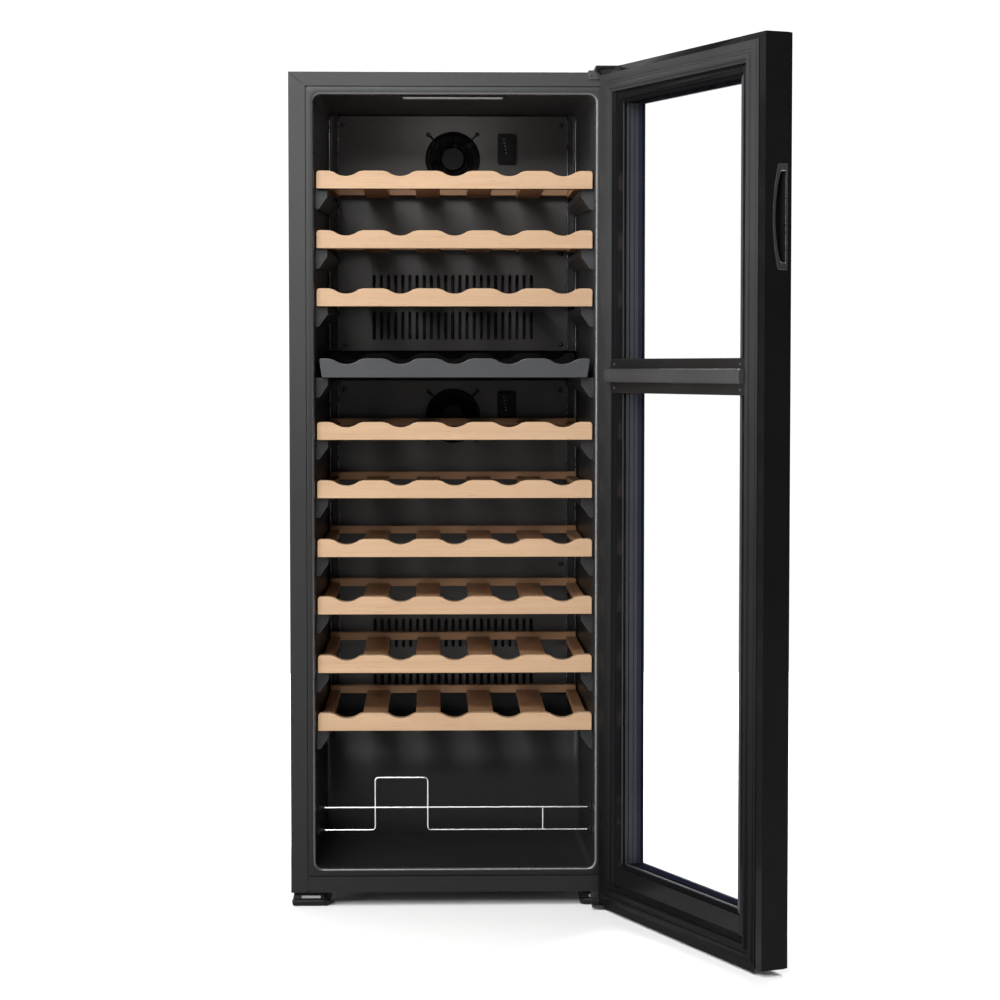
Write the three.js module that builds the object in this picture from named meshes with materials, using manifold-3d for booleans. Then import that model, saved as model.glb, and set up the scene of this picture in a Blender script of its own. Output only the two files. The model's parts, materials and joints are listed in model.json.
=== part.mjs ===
// Free-standing two-zone wine cooler with a glazed door standing open.
// Millimetres, +Z up. While modelling, x = 0 is the middle of the cabinet, y = 0 its front face,
// +Y points to the back and z = 0 is the floor. The last lines move the origin to the bottom
// centre of the whole object's box.
import * as THREE from 'three';
import { mergeVertices } from 'three/addons/utils/BufferGeometryUtils.js';
import Module from 'manifold-3d';

const wasm = await Module();
wasm.setup();

// ---- driving dimensions ----
const WIDTH = 497;
const HALF = WIDTH / 2;
const BODY_BOTTOM = 22;
const BODY_TOP = 1258;
const BODY_DEPTH = 538;
const SHEET = 1.5;
const GAP = 0.3;

// front face
const FLANGE_IN = 223.4;
const FLANGE_TOP = 1236.8;
const KICK_TOP = 46.5;

// cooled cavity
const OPEN_HALF = 211.1;
const OPEN_LOW = 58.7;
const OPEN_HIGH = 1224.2;
const OPEN_RADIUS = 10;
const CAVITY_HALF_FRONT = 209.6;
const CAVITY_HALF_BACK = 204;
const CAVITY_TOP = 1232;
const CAVITY_BACK = 455;
const LIP_DEPTH = 9;
const HUMP_FRONT = 315;
const HUMP_TOP = 245;
const LINER_WALL = 2;

// shelf rails moulded in the cavity walls
const RIB_HALF = 191.5;
const RIB_FRONT = 25;
const RIB_BACK = 380;
const RIB_DROP = 30;
const RIB_CHAMFER = 12;

// shelves
const BOARD_BOTTOMS = [1085, 996, 909, 708, 620, 531, 444, 355, 267];
const DIVIDER_BOTTOM = 802;
const BOARD_HALF = 207.5;
const BOARD_HEIGHT = 27;
const BOARD_FRONT = 10;
const BOARD_THICK = 18;
const SHELF_BACK = 380;
const NOTCH_PITCH = 81.7;
const NOTCH_WIDTH = 49;
const NOTCH_DEPTH = 8;
const NOTCH_COUNT = 5;
const PLANK_WIDTH = 38;
const PLANK_BOTTOM = 9;
const PLANK_TOP = 18;
const BACK_RAIL_LOW = 13;

// evaporator covers and their fans
const COVER_HALF = 188;
const COVER_FRONT = 400;
const COVER_SHEET = 2;
const UPPER_COVER = {
  bottom: 845, top: 1230, fanZ: 1160, vents: [[925, 970], [863, 909]], coil: [866, 1078],
};
const LOWER_COVER = {
  bottom: 252, top: 795, fanZ: 737, vents: [[352, 400], [263, 308]], coil: [430, 650],
};
const VENT_COUNT = 23;
const VENT_PITCH = 11.8;
const VENT_WIDTH = 5.4;
const FAN_RADIUS = 44;

// door, measured from its hinge edge (s) and forward of the cabinet face (n)
const DOOR_BOTTOM = 9;
const DOOR_TOP = 1260;
const DOOR_INNER = 6;
const DOOR_CORE_OUT = 42;
const DOOR_OUTER = 46.5;
const STILE = 67;
const TOP_RAIL = 49;
const BOTTOM_RAIL = 63;
const GASKET_OUT = 13;
const GASKET_IN = 40;
const GASKET_TOP_LIFT = 3.5;
const GASKET_BOTTOM_DROP = 7;
const BEVEL_RUN = 3;
const RECESS = 4;
const DOOR_OPEN = THREE.MathUtils.degToRad(112.3);
const PIVOT_S = 12;
const PIVOT_N = 22;
const PIN_RADIUS = 5;
const BUSH_RADIUS = 8;
const GRIP = { low: 946, high: 1087, nIn: 17.5, nEnd: 25.5, nOut: 40.5, depth: 22, wall: 1.2 };
const MULLION = { low: 779.5, high: 830, barLow: 795, barHigh: 815.5, barProud: 9, end: 44 };

// compressor bay behind the cavity's hump
const BAY_FRONT = 356;
const BAY_TOP = 206;
const BAY_FLOOR = 27;

// ---- materials ----
const paint = new THREE.MeshStandardMaterial({ color: 0x4a4a4b, roughness: 0.5, metalness: 0.3 });
const liner = new THREE.MeshStandardMaterial({ color: 0x1a1819, roughness: 0.45, metalness: 0 });
const coverPaint = new THREE.MeshStandardMaterial({ color: 0x2b2724, roughness: 0.5, metalness: 0.2 });
const blackPlastic = new THREE.MeshStandardMaterial({ color: 0x151516, roughness: 0.4, metalness: 0 });
const greyPlastic = new THREE.MeshStandardMaterial({ color: 0x55575a, roughness: 0.5, metalness: 0 });
const wood = new THREE.MeshStandardMaterial({ color: 0xdeb892, roughness: 0.6, metalness: 0 });
const chrome = new THREE.MeshStandardMaterial({ color: 0xc9cacc, roughness: 0.2, metalness: 1 });
const gloss = new THREE.MeshStandardMaterial({ color: 0x1b1b1d, roughness: 0.12, metalness: 0 });
const rubber = new THREE.MeshStandardMaterial({ color: 0x4c4c4e, roughness: 0.7, metalness: 0 });
const glass = new THREE.MeshStandardMaterial({
  color: 0xe8eef2, roughness: 0.03, metalness: 0, transparent: true, opacity: 0.3,
});
const aluminium = new THREE.MeshStandardMaterial({ color: 0xa9abad, roughness: 0.4, metalness: 1 });
const steel = new THREE.MeshStandardMaterial({ color: 0x8d8f92, roughness: 0.35, metalness: 1 });
const foamFill = new THREE.MeshStandardMaterial({ color: 0xe3d9a8, roughness: 0.9, metalness: 0 });
const lampLens = new THREE.MeshStandardMaterial({ color: 0xe9edf2, roughness: 0.3, metalness: 0 });
const circuit = new THREE.MeshStandardMaterial({ color: 0x2f3b34, roughness: 0.6, metalness: 0 });

// ---- solids ----
function solidOf(geometry) {
  const bare = geometry.index ? geometry.toNonIndexed() : geometry.clone();
  bare.deleteAttribute('normal');
  bare.deleteAttribute('uv');
  const merged = mergeVertices(bare, 1e-4);
  return new wasm.Manifold(new wasm.Mesh({
    numProp: 3,
    vertProperties: new Float32Array(merged.attributes.position.array),
    triVerts: new Uint32Array(merged.index.array),
  }));
}

function geometryOf(solid) {
  const mesh = solid.getMesh();
  const geometry = new THREE.BufferGeometry();
  geometry.setAttribute('position', new THREE.BufferAttribute(mesh.vertProperties, 3));
  geometry.setIndex(new THREE.BufferAttribute(mesh.triVerts, 1));
  geometry.computeVertexNormals();
  return geometry;
}

function box([x0, x1], [y0, y1], [z0, z1]) {
  const geometry = new THREE.BoxGeometry(x1 - x0, y1 - y0, z1 - z0);
  geometry.translate((x0 + x1) / 2, (y0 + y1) / 2, (z0 + z1) / 2);
  return solidOf(geometry);
}

function outline(points) {
  return new THREE.Shape(points.map(([a, b]) => new THREE.Vector2(a, b)));
}

function extruded(shape, length, curveSegments = 6) {
  return new THREE.ExtrudeGeometry(shape, { depth: length, bevelEnabled: false, curveSegments });
}

// an outline in X and Y, raised along Z
function alongZ(shape, z0, z1, curveSegments) {
  return solidOf(extruded(shape, z1 - z0, curveSegments).translate(0, 0, z0));
}

// an outline in X and Z, drawn along Y
function alongY(shape, y0, y1, curveSegments) {
  return solidOf(extruded(shape, y1 - y0, curveSegments).rotateX(Math.PI / 2).translate(0, y1, 0));
}

// an outline in Y and Z, drawn along X
function alongX(shape, x0, x1, curveSegments) {
  const turn = new THREE.Matrix4().set(0, 0, 1, x0, 1, 0, 0, 0, 0, 1, 0, 0, 0, 0, 0, 1);
  return solidOf(extruded(shape, x1 - x0, curveSegments).applyMatrix4(turn));
}

// a round bar between two heights on an axis: 'x', 'y' or 'z'
function rod(axis, radius, from, to, [a, b], sides = 16) {
  const circle = new THREE.Shape();
  circle.absarc(a, b, radius, 0, 2 * Math.PI);
  const draw = { x: alongX, y: alongY, z: alongZ }[axis];
  return draw(circle, from, to, Math.round(sides / 2));
}

function joined(solids) {
  return solids.reduce((sum, solid) => sum.add(solid));
}

function roundedRect(halfWidth, low, high, radius) {
  const shape = new THREE.Shape();
  shape.moveTo(-halfWidth + radius, low);
  shape.lineTo(halfWidth - radius, low);
  shape.absarc(halfWidth - radius, low + radius, radius, -Math.PI / 2, 0);
  shape.absarc(halfWidth - radius, high - radius, radius, 0, Math.PI / 2);
  shape.absarc(-halfWidth + radius, high - radius, radius, Math.PI / 2, Math.PI);
  shape.absarc(-halfWidth + radius, low + radius, radius, Math.PI, 1.5 * Math.PI);
  return shape;
}

const cooler = new THREE.Group();
const cabinet = new THREE.Group();
const door = new THREE.Group();

function place(group, name, solid, material) {
  const mesh = new THREE.Mesh(geometryOf(solid), material);
  mesh.name = name;
  group.add(mesh);
}

// ---- outer casing ----
// The wedge above a mitre line, which rises outwards from the inner flange corner to the outer corner.
function mitreWedge(side, shift) {
  const drop = BODY_TOP - FLANGE_TOP;
  const reach = 60;
  const slope = drop / (HALF - FLANGE_IN);
  const lineZ = (x) => FLANGE_TOP + (x - FLANGE_IN) * slope + shift;
  const points = [
    [side * (FLANGE_IN - reach), lineZ(FLANGE_IN - reach)],
    [side * (HALF + reach), lineZ(HALF + reach)],
    [side * (FLANGE_IN - reach), BODY_TOP + 2 * reach],
  ];
  return alongY(outline(side > 0 ? points : points.reverse()), -5, BODY_DEPTH + 5);
}

function sidePanel(side) {
  const skin = box([HALF - SHEET, HALF], [0, BODY_DEPTH], [BODY_BOTTOM, BODY_TOP]);
  const flange = box([FLANGE_IN + GAP / 2, HALF], [0, SHEET], [BODY_BOTTOM, BODY_TOP]);
  const right = skin.add(flange).subtract(mitreWedge(1, -GAP / 2));
  return side > 0 ? right : right.mirror([1, 0, 0]);
}

function topPanel() {
  const skin = box([-HALF, HALF], [0, BODY_DEPTH], [BODY_TOP - SHEET, BODY_TOP]);
  const flange = box([-HALF, HALF], [0, SHEET], [FLANGE_TOP + GAP / 2, BODY_TOP]);
  const keepRight = mitreWedge(1, GAP / 2);
  const keepLeft = mitreWedge(-1, GAP / 2);
  const middle = box([-FLANGE_IN + 1, FLANGE_IN - 1], [-5, BODY_DEPTH + 5], [BODY_BOTTOM, BODY_TOP + 5]);
  return skin.add(flange).intersect(joined([middle, keepRight, keepLeft]));
}

function bottomRail() {
  const half = FLANGE_IN - GAP / 2;
  const face = alongY(roundedRect(half, BODY_BOTTOM, KICK_TOP - GAP / 2, 5), 0, SHEET, 4);
  const lip = box([-half + 6, half - 6], [0, 20], [BODY_BOTTOM, BODY_BOTTOM + SHEET]);
  return face.add(lip);
}

function rearPanel() {
  const half = HALF - SHEET - GAP;
  const plate = box([-half, half], [BODY_DEPTH - SHEET, BODY_DEPTH], [BAY_TOP + 2, BODY_TOP - SHEET - GAP]);
  const stiffeners = [-120, 0, 120].map((x) =>
    box([x - 12, x + 12], [BODY_DEPTH - SHEET - 1, BODY_DEPTH - SHEET + 0.5], [300, 1180]));
  return joined([plate, ...stiffeners]);
}

function rearGrille() {
  const half = HALF - SHEET - GAP;
  const plate = box([-half, half], [BODY_DEPTH - SHEET, BODY_DEPTH], [BAY_FLOOR, BAY_TOP + 1.5]);
  const slots = [];
  for (let column = 0; column < 8; column += 1) {
    for (let row = 0; row < 4; row += 1) {
      const x = -196 + column * 56;
      const z = 52 + row * 36;
      slots.push(box([x - 22, x + 22], [BODY_DEPTH - 5, BODY_DEPTH + 5], [z - 4, z + 4]));
    }
  }
  return plate.subtract(joined(slots));
}

function basePan() {
  const half = HALF - SHEET - GAP;
  const floor = box([-half, half], [21, BODY_DEPTH - SHEET - GAP], [BODY_BOTTOM, BODY_BOTTOM + SHEET]);
  const lips = [box([-half, -half + SHEET], [21, BAY_FRONT], [BODY_BOTTOM, BAY_FLOOR - GAP]),
    box([half - SHEET, half], [21, BAY_FRONT], [BODY_BOTTOM, BAY_FLOOR - GAP])];
  return joined([floor, ...lips]);
}

// ---- cooled cavity ----
function taperedPlan(halfFront, halfBack, front, back) {
  return outline([[-halfFront, front], [halfFront, front], [halfBack, back], [-halfBack, back]]);
}

function cavityProfile(front, grow) {
  return outline([
    [front, OPEN_LOW - grow], [HUMP_FRONT + grow, OPEN_LOW - grow], [HUMP_FRONT + grow, HUMP_TOP - grow],
    [CAVITY_BACK + grow, HUMP_TOP - grow], [CAVITY_BACK + grow, CAVITY_TOP + grow],
    [front, CAVITY_TOP + grow],
  ]);
}

function cavity(front, grow) {
  const side = alongX(cavityProfile(front, grow), -HALF, HALF);
  const plan = taperedPlan(CAVITY_HALF_FRONT + grow, CAVITY_HALF_BACK + grow, front, CAVITY_BACK + grow);
  return side.intersect(alongZ(plan, 0, BODY_TOP));
}

function shelfRib(side, top) {
  const wall = CAVITY_HALF_FRONT + 1;
  const points = [
    [wall, top], [RIB_HALF, top], [RIB_HALF, top - RIB_DROP + RIB_CHAMFER + 6], [wall - 5, top - RIB_DROP],
    [wall, top - RIB_DROP],
  ];
  const shape = outline(points.map(([x, z]) => [side * x, z]));
  return alongY(shape, RIB_FRONT, RIB_BACK);
}

function innerLiner() {
  const rim = roundedRect(FLANGE_IN - GAP / 2, KICK_TOP + GAP / 2, FLANGE_TOP - GAP / 2, 3);
  const flange = alongY(rim, 0, 2.5, 2);
  const mouth = alongY(roundedRect(OPEN_HALF, OPEN_LOW, OPEN_HIGH, OPEN_RADIUS), -1, LIP_DEPTH, 4);
  const lip = alongY(roundedRect(OPEN_HALF + 4, OPEN_LOW - 4, CAVITY_TOP + 4, OPEN_RADIUS), 2, LIP_DEPTH, 3);
  const shell = joined([cavity(2, LINER_WALL), flange, lip]);
  const ribTops = [...BOARD_BOTTOMS, DIVIDER_BOTTOM].map((z) => z - GAP);
  const ribs = ribTops.flatMap((top) => [shelfRib(1, top), shelfRib(-1, top)]);
  const hollow = cavity(LIP_DEPTH - 1, 0);
  const outside = cavity(2, LINER_WALL);
  return shell.subtract(mouth).subtract(hollow).add(joined(ribs).intersect(outside));
}

function foamInsulation() {
  const half = HALF - SHEET - GAP;
  const top = BODY_TOP - SHEET - GAP;
  const profile = outline([
    [4, BAY_FLOOR], [BAY_FRONT - 3, BAY_FLOOR], [BAY_FRONT - 3, BAY_TOP + 3],
    [BODY_DEPTH - SHEET - 1.5, BAY_TOP + 3], [BODY_DEPTH - SHEET - 1.5, top], [4, top],
  ]);
  const block = alongX(profile, -half, half);
  const room = cavity(0, LINER_WALL + GAP);
  const frontRoom = box([-OPEN_HALF - 6, OPEN_HALF + 6], [0, LIP_DEPTH + 1], [OPEN_LOW - 6, CAVITY_TOP + 6]);
  return block.subtract(room).subtract(frontRoom);
}

// ---- evaporator covers, coils, fans ----
function evaporatorCover({ bottom, top, fanZ, vents }) {
  const back = CAVITY_BACK - GAP;
  const outer = box([-COVER_HALF, COVER_HALF], [COVER_FRONT, back], [bottom, top]);
  const room = box([-COVER_HALF + COVER_SHEET, COVER_HALF - COVER_SHEET],
    [COVER_FRONT + COVER_SHEET, back + 5], [bottom + COVER_SHEET, top - COVER_SHEET]);
  const cuts = [rod('y', FAN_RADIUS, COVER_FRONT - 5, COVER_FRONT + 10, [0, fanZ], 24)];
  const first = -VENT_PITCH * (VENT_COUNT - 1) / 2;
  for (const [low, high] of vents) {
    for (let i = 0; i < VENT_COUNT; i += 1) {
      const x = first + i * VENT_PITCH;
      const width = [x - VENT_WIDTH / 2, x + VENT_WIDTH / 2];
      cuts.push(box(width, [COVER_FRONT - 5, COVER_FRONT + 10], [low, high]));
    }
  }
  return outer.subtract(room).subtract(joined(cuts));
}

function evaporator([low, high]) {
  const plate = box([-150, 150], [446, 449], [low, high]);
  const fins = [];
  for (let i = 0; i < 5; i += 1) {
    const x = -138 + i * 69;
    fins.push(box([x - 0.8, x + 0.8], [416, 447], [low + 6, high - 6]));
  }
  const tubes = [];
  for (let z = low + 50; z < high - 10; z += 100) {
    tubes.push(rod('x', 5, -158, 158, [432, z], 6));
  }
  return joined([plate, ...fins, ...tubes]);
}

function ringY(outer, inner, y0, y1, z, sides = 16) {
  return rod('y', outer, y0, y1, [0, z], sides).subtract(rod('y', inner, y0 - 1, y1 + 1, [0, z], sides));
}

function fanGuard(fanZ) {
  const front = COVER_FRONT - 5;
  const back = COVER_FRONT - GAP;
  const rings = [45, 35, 26].map((r) => ringY(r, r - 2, front, r === 45 ? back : back - 1.5, fanZ));
  const hub = rod('y', 17, front, back - 1.5, [0, fanZ], 16);
  const struts = [45, 135].map((degrees) => {
    const bar = new THREE.BoxGeometry(112, 3, 3.2);
    bar.rotateY(THREE.MathUtils.degToRad(degrees));
    bar.translate(0, front + 2.2, fanZ);
    return solidOf(bar);
  });
  const eyes = [[-1, -1], [1, -1], [-1, 1], [1, 1]].map(([x, z]) =>
    rod('y', 4, front + 0.8, back, [x * 40.5, fanZ + z * 40.5], 6));
  return joined([...rings, hub, ...struts, ...eyes]);
}

function fanMotor(fanZ) {
  const shroud = ringY(47.5, FAN_RADIUS + 0.5, COVER_FRONT + COVER_SHEET + GAP, COVER_FRONT + 14, fanZ);
  const cup = rod('y', 13, COVER_FRONT + 10.5, COVER_FRONT + 15, [0, fanZ], 16);
  const arms = [30, 90, 150].map((degrees) => {
    const bar = new THREE.BoxGeometry(93, 2.5, 4);
    bar.rotateY(THREE.MathUtils.degToRad(degrees));
    bar.translate(0, COVER_FRONT + 12.6, fanZ);
    return solidOf(bar);
  });
  return joined([shroud, cup, ...arms]);
}

// A propeller whose axis is +Y through the origin.
function rotor(radius, hubRadius, depth, blades) {
  const hub = rod('y', hubRadius, -depth / 2, depth / 2, [0, 0], 12);
  const parts = [hub];
  for (let i = 0; i < blades; i += 1) {
    const blade = new THREE.BoxGeometry(radius - hubRadius + 2, 1.2, radius * 0.5);
    blade.rotateX(THREE.MathUtils.degToRad(22));
    blade.translate((radius + hubRadius) / 2 - 1, 0, 0);
    blade.rotateY((i * 2 * Math.PI) / blades);
    parts.push(solidOf(blade));
  }
  return joined(parts);
}

function sensorHousing(fanZ) {
  const low = fanZ - 8;
  const body = box([74, 104], [389, COVER_FRONT - GAP], [low, low + 49]);
  const lid = box([77, 101], [386.5, 390], [low + 3, low + 46]);
  const grooves = [10, 18, 26, 34].map((dz) => box([81, 97], [386, 388], [low + dz, low + dz + 3]));
  return body.add(lid).subtract(joined(grooves));
}

function ceilingLight() {
  const tray = box([-81, 77], [78, 110], [CAVITY_TOP - 4, CAVITY_TOP - GAP]);
  const bulge = alongX(outline([[84, 1229], [104, 1229], [100, 1225.5], [88, 1225.5]].reverse()), -74, 70);
  return tray.add(bulge);
}

// ---- shelves ----
function notchedBoard(half, bottom, height, notchWidth, notchDepth) {
  const top = bottom + height;
  const radius = (notchWidth ** 2 / 4 + notchDepth ** 2) / (2 * notchDepth);
  const spread = Math.asin(notchWidth / 2 / radius);
  const corner = 5;
  const shape = new THREE.Shape();
  shape.moveTo(-half, bottom);
  shape.lineTo(half, bottom);
  shape.lineTo(half, top - corner);
  shape.lineTo(half - corner * 0.3, top - corner * 0.3);
  shape.lineTo(half - corner, top);
  for (let i = NOTCH_COUNT - 1; i >= 0; i -= 1) {
    const x = (i - (NOTCH_COUNT - 1) / 2) * NOTCH_PITCH;
    const centre = top - notchDepth + radius;
    shape.absarc(x, centre, radius, -Math.PI / 2 + spread, -Math.PI / 2 - spread, true);
  }
  shape.lineTo(-half + corner, top);
  shape.lineTo(-half + corner * 0.3, top - corner * 0.3);
  shape.lineTo(-half, top - corner);
  return shape;
}

function bottleShelf(bottom) {
  const board = alongY(notchedBoard(BOARD_HALF, bottom, BOARD_HEIGHT, NOTCH_WIDTH, NOTCH_DEPTH),
    BOARD_FRONT, BOARD_FRONT + BOARD_THICK, 2);
  const start = BOARD_FRONT + BOARD_THICK - 0.5;
  const backFront = SHELF_BACK - 16;
  const railHeights = [bottom + BACK_RAIL_LOW, bottom + BOARD_HEIGHT - 1];
  const parts = [board, box([-202, 202], [backFront, SHELF_BACK], railHeights)];
  for (const side of [-1, 1]) {
    const edge = side > 0 ? [186, 203] : [-203, -186];
    parts.push(box(edge, [start, backFront + 1], [bottom, bottom + PLANK_TOP]));
  }
  for (let i = 0; i < NOTCH_COUNT - 1; i += 1) {
    const x = (i - (NOTCH_COUNT - 2) / 2) * NOTCH_PITCH;
    const plank = [x - PLANK_WIDTH / 2, x + PLANK_WIDTH / 2];
    parts.push(box(plank, [start, backFront + 1], [bottom + PLANK_BOTTOM, bottom + PLANK_TOP]));
  }
  return joined(parts);
}

function zoneDivider() {
  const bottom = DIVIDER_BOTTOM;
  const height = 28.8;
  const front = alongY(notchedBoard(204.5, bottom, height, 52, 8.5), 10, 24, 2);
  const tray = box([-201.5, 201.5], [23, 398], [bottom + 2, bottom + 6]);
  const back = alongY(notchedBoard(201.5, bottom + 3, 36, 52, 11), 384, 396, 2);
  const walls = [box([-201.5, -198], [23, 396], [bottom, bottom + 22]),
    box([198, 201.5], [23, 396], [bottom, bottom + 22])];
  return joined([front, tray, back, ...walls]);
}

// ---- wire rack at the bottom ----
const WIRE = { y: 40, radius: 2, left: -200, right: 203, high: 145, low: 111, humpTop: 190.5 };

function wireRack() {
  const { y, radius, left, right, high, low, humpTop } = WIRE;
  const humpLeft = -121.9;
  const humpRight = -41.6;
  const tie = 134.5;
  const across = (x0, x1, z) => rod('x', radius, x0, x1, [y, z], 8);
  const upright = (x, z0, z1) => rod('z', radius, z0 - radius * 0.9, z1 + radius * 0.9, [x, y], 8);
  return joined([
    across(left, right, high),
    across(left, humpLeft, low),
    across(humpRight, right, low),
    across(humpLeft, humpRight, humpTop),
    upright(humpLeft, low, humpTop),
    upright(humpRight, low, humpTop),
    upright(tie, low, high),
  ]);
}

// ---- compressor bay ----
function bayPanel() {
  const half = HALF - SHEET - GAP;
  const upright = box([-half, half], [BAY_FRONT - 2.5, BAY_FRONT - 1], [BAY_FLOOR, BAY_TOP + 2.5]);
  const depth = [BAY_FRONT - 2.5, BODY_DEPTH - SHEET - GAP];
  const roof = box([-half, half], depth, [BAY_TOP + 1, BAY_TOP + 2.5]);
  const drain = rod('z', 7, BAY_TOP - 1, BAY_TOP + 1.5, [95, 450], 12);
  return joined([upright, roof, drain]);
}

function compressor() {
  const profile = [[0, 34], [58, 34], [66, 42], [70, 70], [70, 76], [68, 78], [68, 118], [60, 140], [40, 151],
    [0, 154]].map(([r, z]) => new THREE.Vector2(r, z));
  const can = solidOf(new THREE.LatheGeometry(profile, 16).rotateX(Math.PI / 2).translate(95, 450, 0));
  const foot = box([20, 170], [395, 505], [30, 35]);
  const pads = [[30, 405], [160, 405], [30, 495], [160, 495]].map(([x, y]) =>
    rod('z', 9, BODY_BOTTOM + SHEET + GAP, 31, [x, y], 10));
  const relay = box([14, 34], [430, 470], [60, 100]);
  const tube = rod('z', 5, 140, 166, [70, 450], 8);
  return joined([can, foot, ...pads, relay, tube]);
}

function condenser() {
  const parts = [box([-226, -224], [392, 508], [30, 186]), box([-112, -110], [392, 508], [30, 186])];
  for (const z of [75, 141]) {
    for (const y of [420, 480]) {
      parts.push(rod('x', 5, -225, -111, [y, z], 6));
    }
  }
  for (let i = 0; i < 3; i += 1) {
    const x = -197 + i * 28;
    parts.push(box([x, x + 1.2], [396, 504], [34, 182]));
  }
  return joined(parts);
}

const BAY_FAN = { x: -70, y: 450, z: 108, radius: 56 };

function bayFanFrame() {
  const { x, y, z, radius } = BAY_FAN;
  const plate = box([x - 12, x + 10], [y - 64, y + 64], [BODY_BOTTOM + SHEET + GAP, z + 64]);
  const mouth = rod('x', radius + 3, x - 20, x + 20, [y, z], 24);
  const motor = rod('x', 20, x + 4, x + 34, [y, z], 14);
  const arms = box([x + 4, x + 9.5], [y - 62, y + 62], [z - 4, z + 4]);
  return joined([plate.subtract(mouth), motor, arms]);
}

function dripTray() {
  const outer = box([45, 145], [400, 500], [155, 182]);
  const pipe = box([62, 78], [442, 458], [150, 190]);
  return outer.subtract(box([47, 143], [402, 498], [157, 190])).subtract(pipe);
}

function controlBox() {
  const outer = box([188, 240], [400, 500], [40, 170]);
  return outer.subtract(box([190, 238], [402, 498], [42, 175])).add(box([196, 198], [408, 492], [41, 160]));
}

// ---- feet ----
function frontFoot(side, top) {
  const base = alongX(outline([[6, 3], [9, 0], [60, 0], [60, 9], [8, 9]]), 189, 248);
  const plate = alongX(outline([[10, 8.5], [60, 8.5], [60, top], [14, top]]), 191, 246);
  const slot = box([204, 232], [5, 13.5], [12, 15]);
  const right = base.add(plate).subtract(slot);
  return side > 0 ? right : right.mirror([1, 0, 0]);
}

function rearFoot(side) {
  const x = side * 210;
  const pad = rod('z', 17, 0, 7, [x, 500], 20);
  const stem = rod('z', 9, 6, BODY_BOTTOM - GAP, [x, 500], 14);
  return pad.add(stem);
}

// ---- door, drawn closed around its pivot ----
const PIVOT = new THREE.Vector3(HALF - PIVOT_S, -PIVOT_N, 0);

function doorBox([s0, s1], [n0, n1], z) {
  return box([PIVOT_S - s1, PIVOT_S - s0], [PIVOT_N - n1, PIVOT_N - n0], z);
}

// section from the door's edge inwards: flat border under the gasket, step down, recessed band
function section(width, border) {
  const low = DOOR_INNER + RECESS;
  return [[0, DOOR_INNER], [border, DOOR_INNER], [border + BEVEL_RUN, low], [width, low],
    [width, DOOR_CORE_OUT], [0, DOOR_CORE_OUT]];
}

// the stiles run the door's full height, and their recessed band stops at the gasket's top and bottom
function stile(handleSide) {
  const side = (s) => PIVOT_S - (handleSide ? WIDTH - s : s);
  const points = section(STILE, GASKET_IN).map(([s, n]) => [side(s), PIVOT_N - n]);
  const band = [side(GASKET_IN - 1), side(STILE)].sort((a, b) => a - b);
  const depth = [PIVOT_N - DOOR_CORE_OUT, PIVOT_N - DOOR_INNER];
  return joined([
    alongZ(outline(points), DOOR_BOTTOM, DOOR_TOP),
    box(band, depth, [DOOR_BOTTOM, DOOR_BOTTOM + GASKET_IN - GASKET_BOTTOM_DROP]),
    box(band, depth, [DOOR_TOP - GASKET_IN + GASKET_TOP_LIFT, DOOR_TOP]),
  ]);
}

function rail(top) {
  const width = top ? TOP_RAIL : BOTTOM_RAIL;
  const border = GASKET_IN - (top ? GASKET_TOP_LIFT : GASKET_BOTTOM_DROP);
  const level = (d) => (top ? DOOR_TOP - d : DOOR_BOTTOM + d);
  const points = section(width, border).map(([d, n]) => [PIVOT_N - n, level(d)]);
  return alongX(outline(points), PIVOT_S - WIDTH + STILE + GAP, PIVOT_S - STILE - GAP);
}

function hingeStile() {
  const reach = 26;
  const low = rod('z', BUSH_RADIUS, DOOR_BOTTOM - 1, DOOR_BOTTOM + reach, [0, 0], 16);
  const high = rod('z', BUSH_RADIUS, DOOR_TOP - reach, DOOR_TOP + 1, [0, 0], 16);
  return stile(false).subtract(low).subtract(high);
}

// a tall slot with a straight outer edge and a bowed inner edge
function gripShape(inset) {
  const { low, high, nIn, nEnd, nOut } = GRIP;
  const straight = PIVOT_N - nOut + inset;
  const bulge = PIVOT_N - nIn - inset;
  const end = PIVOT_N - nEnd - inset;
  const shape = new THREE.Shape();
  shape.moveTo(straight, low + inset);
  shape.lineTo(end, low + inset);
  shape.quadraticCurveTo(2 * bulge - end, (low + high) / 2, end, high - inset);
  shape.lineTo(straight, high - inset);
  return shape;
}

function gripSolid(inset, depth) {
  const free = PIVOT_S - WIDTH;
  return alongX(gripShape(inset), free - 1, free + depth, 5);
}

function handleStile() {
  return stile(true).subtract(gripSolid(0, GRIP.depth));
}

function gripCup() {
  const free = PIVOT_S - WIDTH;
  const trim = box([free + GAP, free + 60], [-60, 60], [DOOR_BOTTOM, DOOR_TOP]);
  const hollow = gripSolid(GAP + GRIP.wall, GRIP.depth - GRIP.wall - GAP);
  return gripSolid(GAP, GRIP.depth - GAP).intersect(trim).subtract(hollow);
}

function gasket() {
  const ring = (inset, n0, n1) => doorBox([inset, WIDTH - inset], [n0, n1],
    [DOOR_BOTTOM + inset - GASKET_BOTTOM_DROP, DOOR_TOP - inset + GASKET_TOP_LIFT]);
  const face = DOOR_INNER - GAP;
  const base = ring(GASKET_OUT, 3, face).subtract(ring(GASKET_IN, 0, face + 1));
  const lip = ring(GASKET_OUT + 12, GAP, 4).subtract(ring(GASKET_IN - 3, 0, 5));
  return base.add(lip);
}

const WINDOW = STILE + GAP;
const WINDOW_Z = [DOOR_BOTTOM + BOTTOM_RAIL + GAP, DOOR_TOP - TOP_RAIL - GAP];

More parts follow.
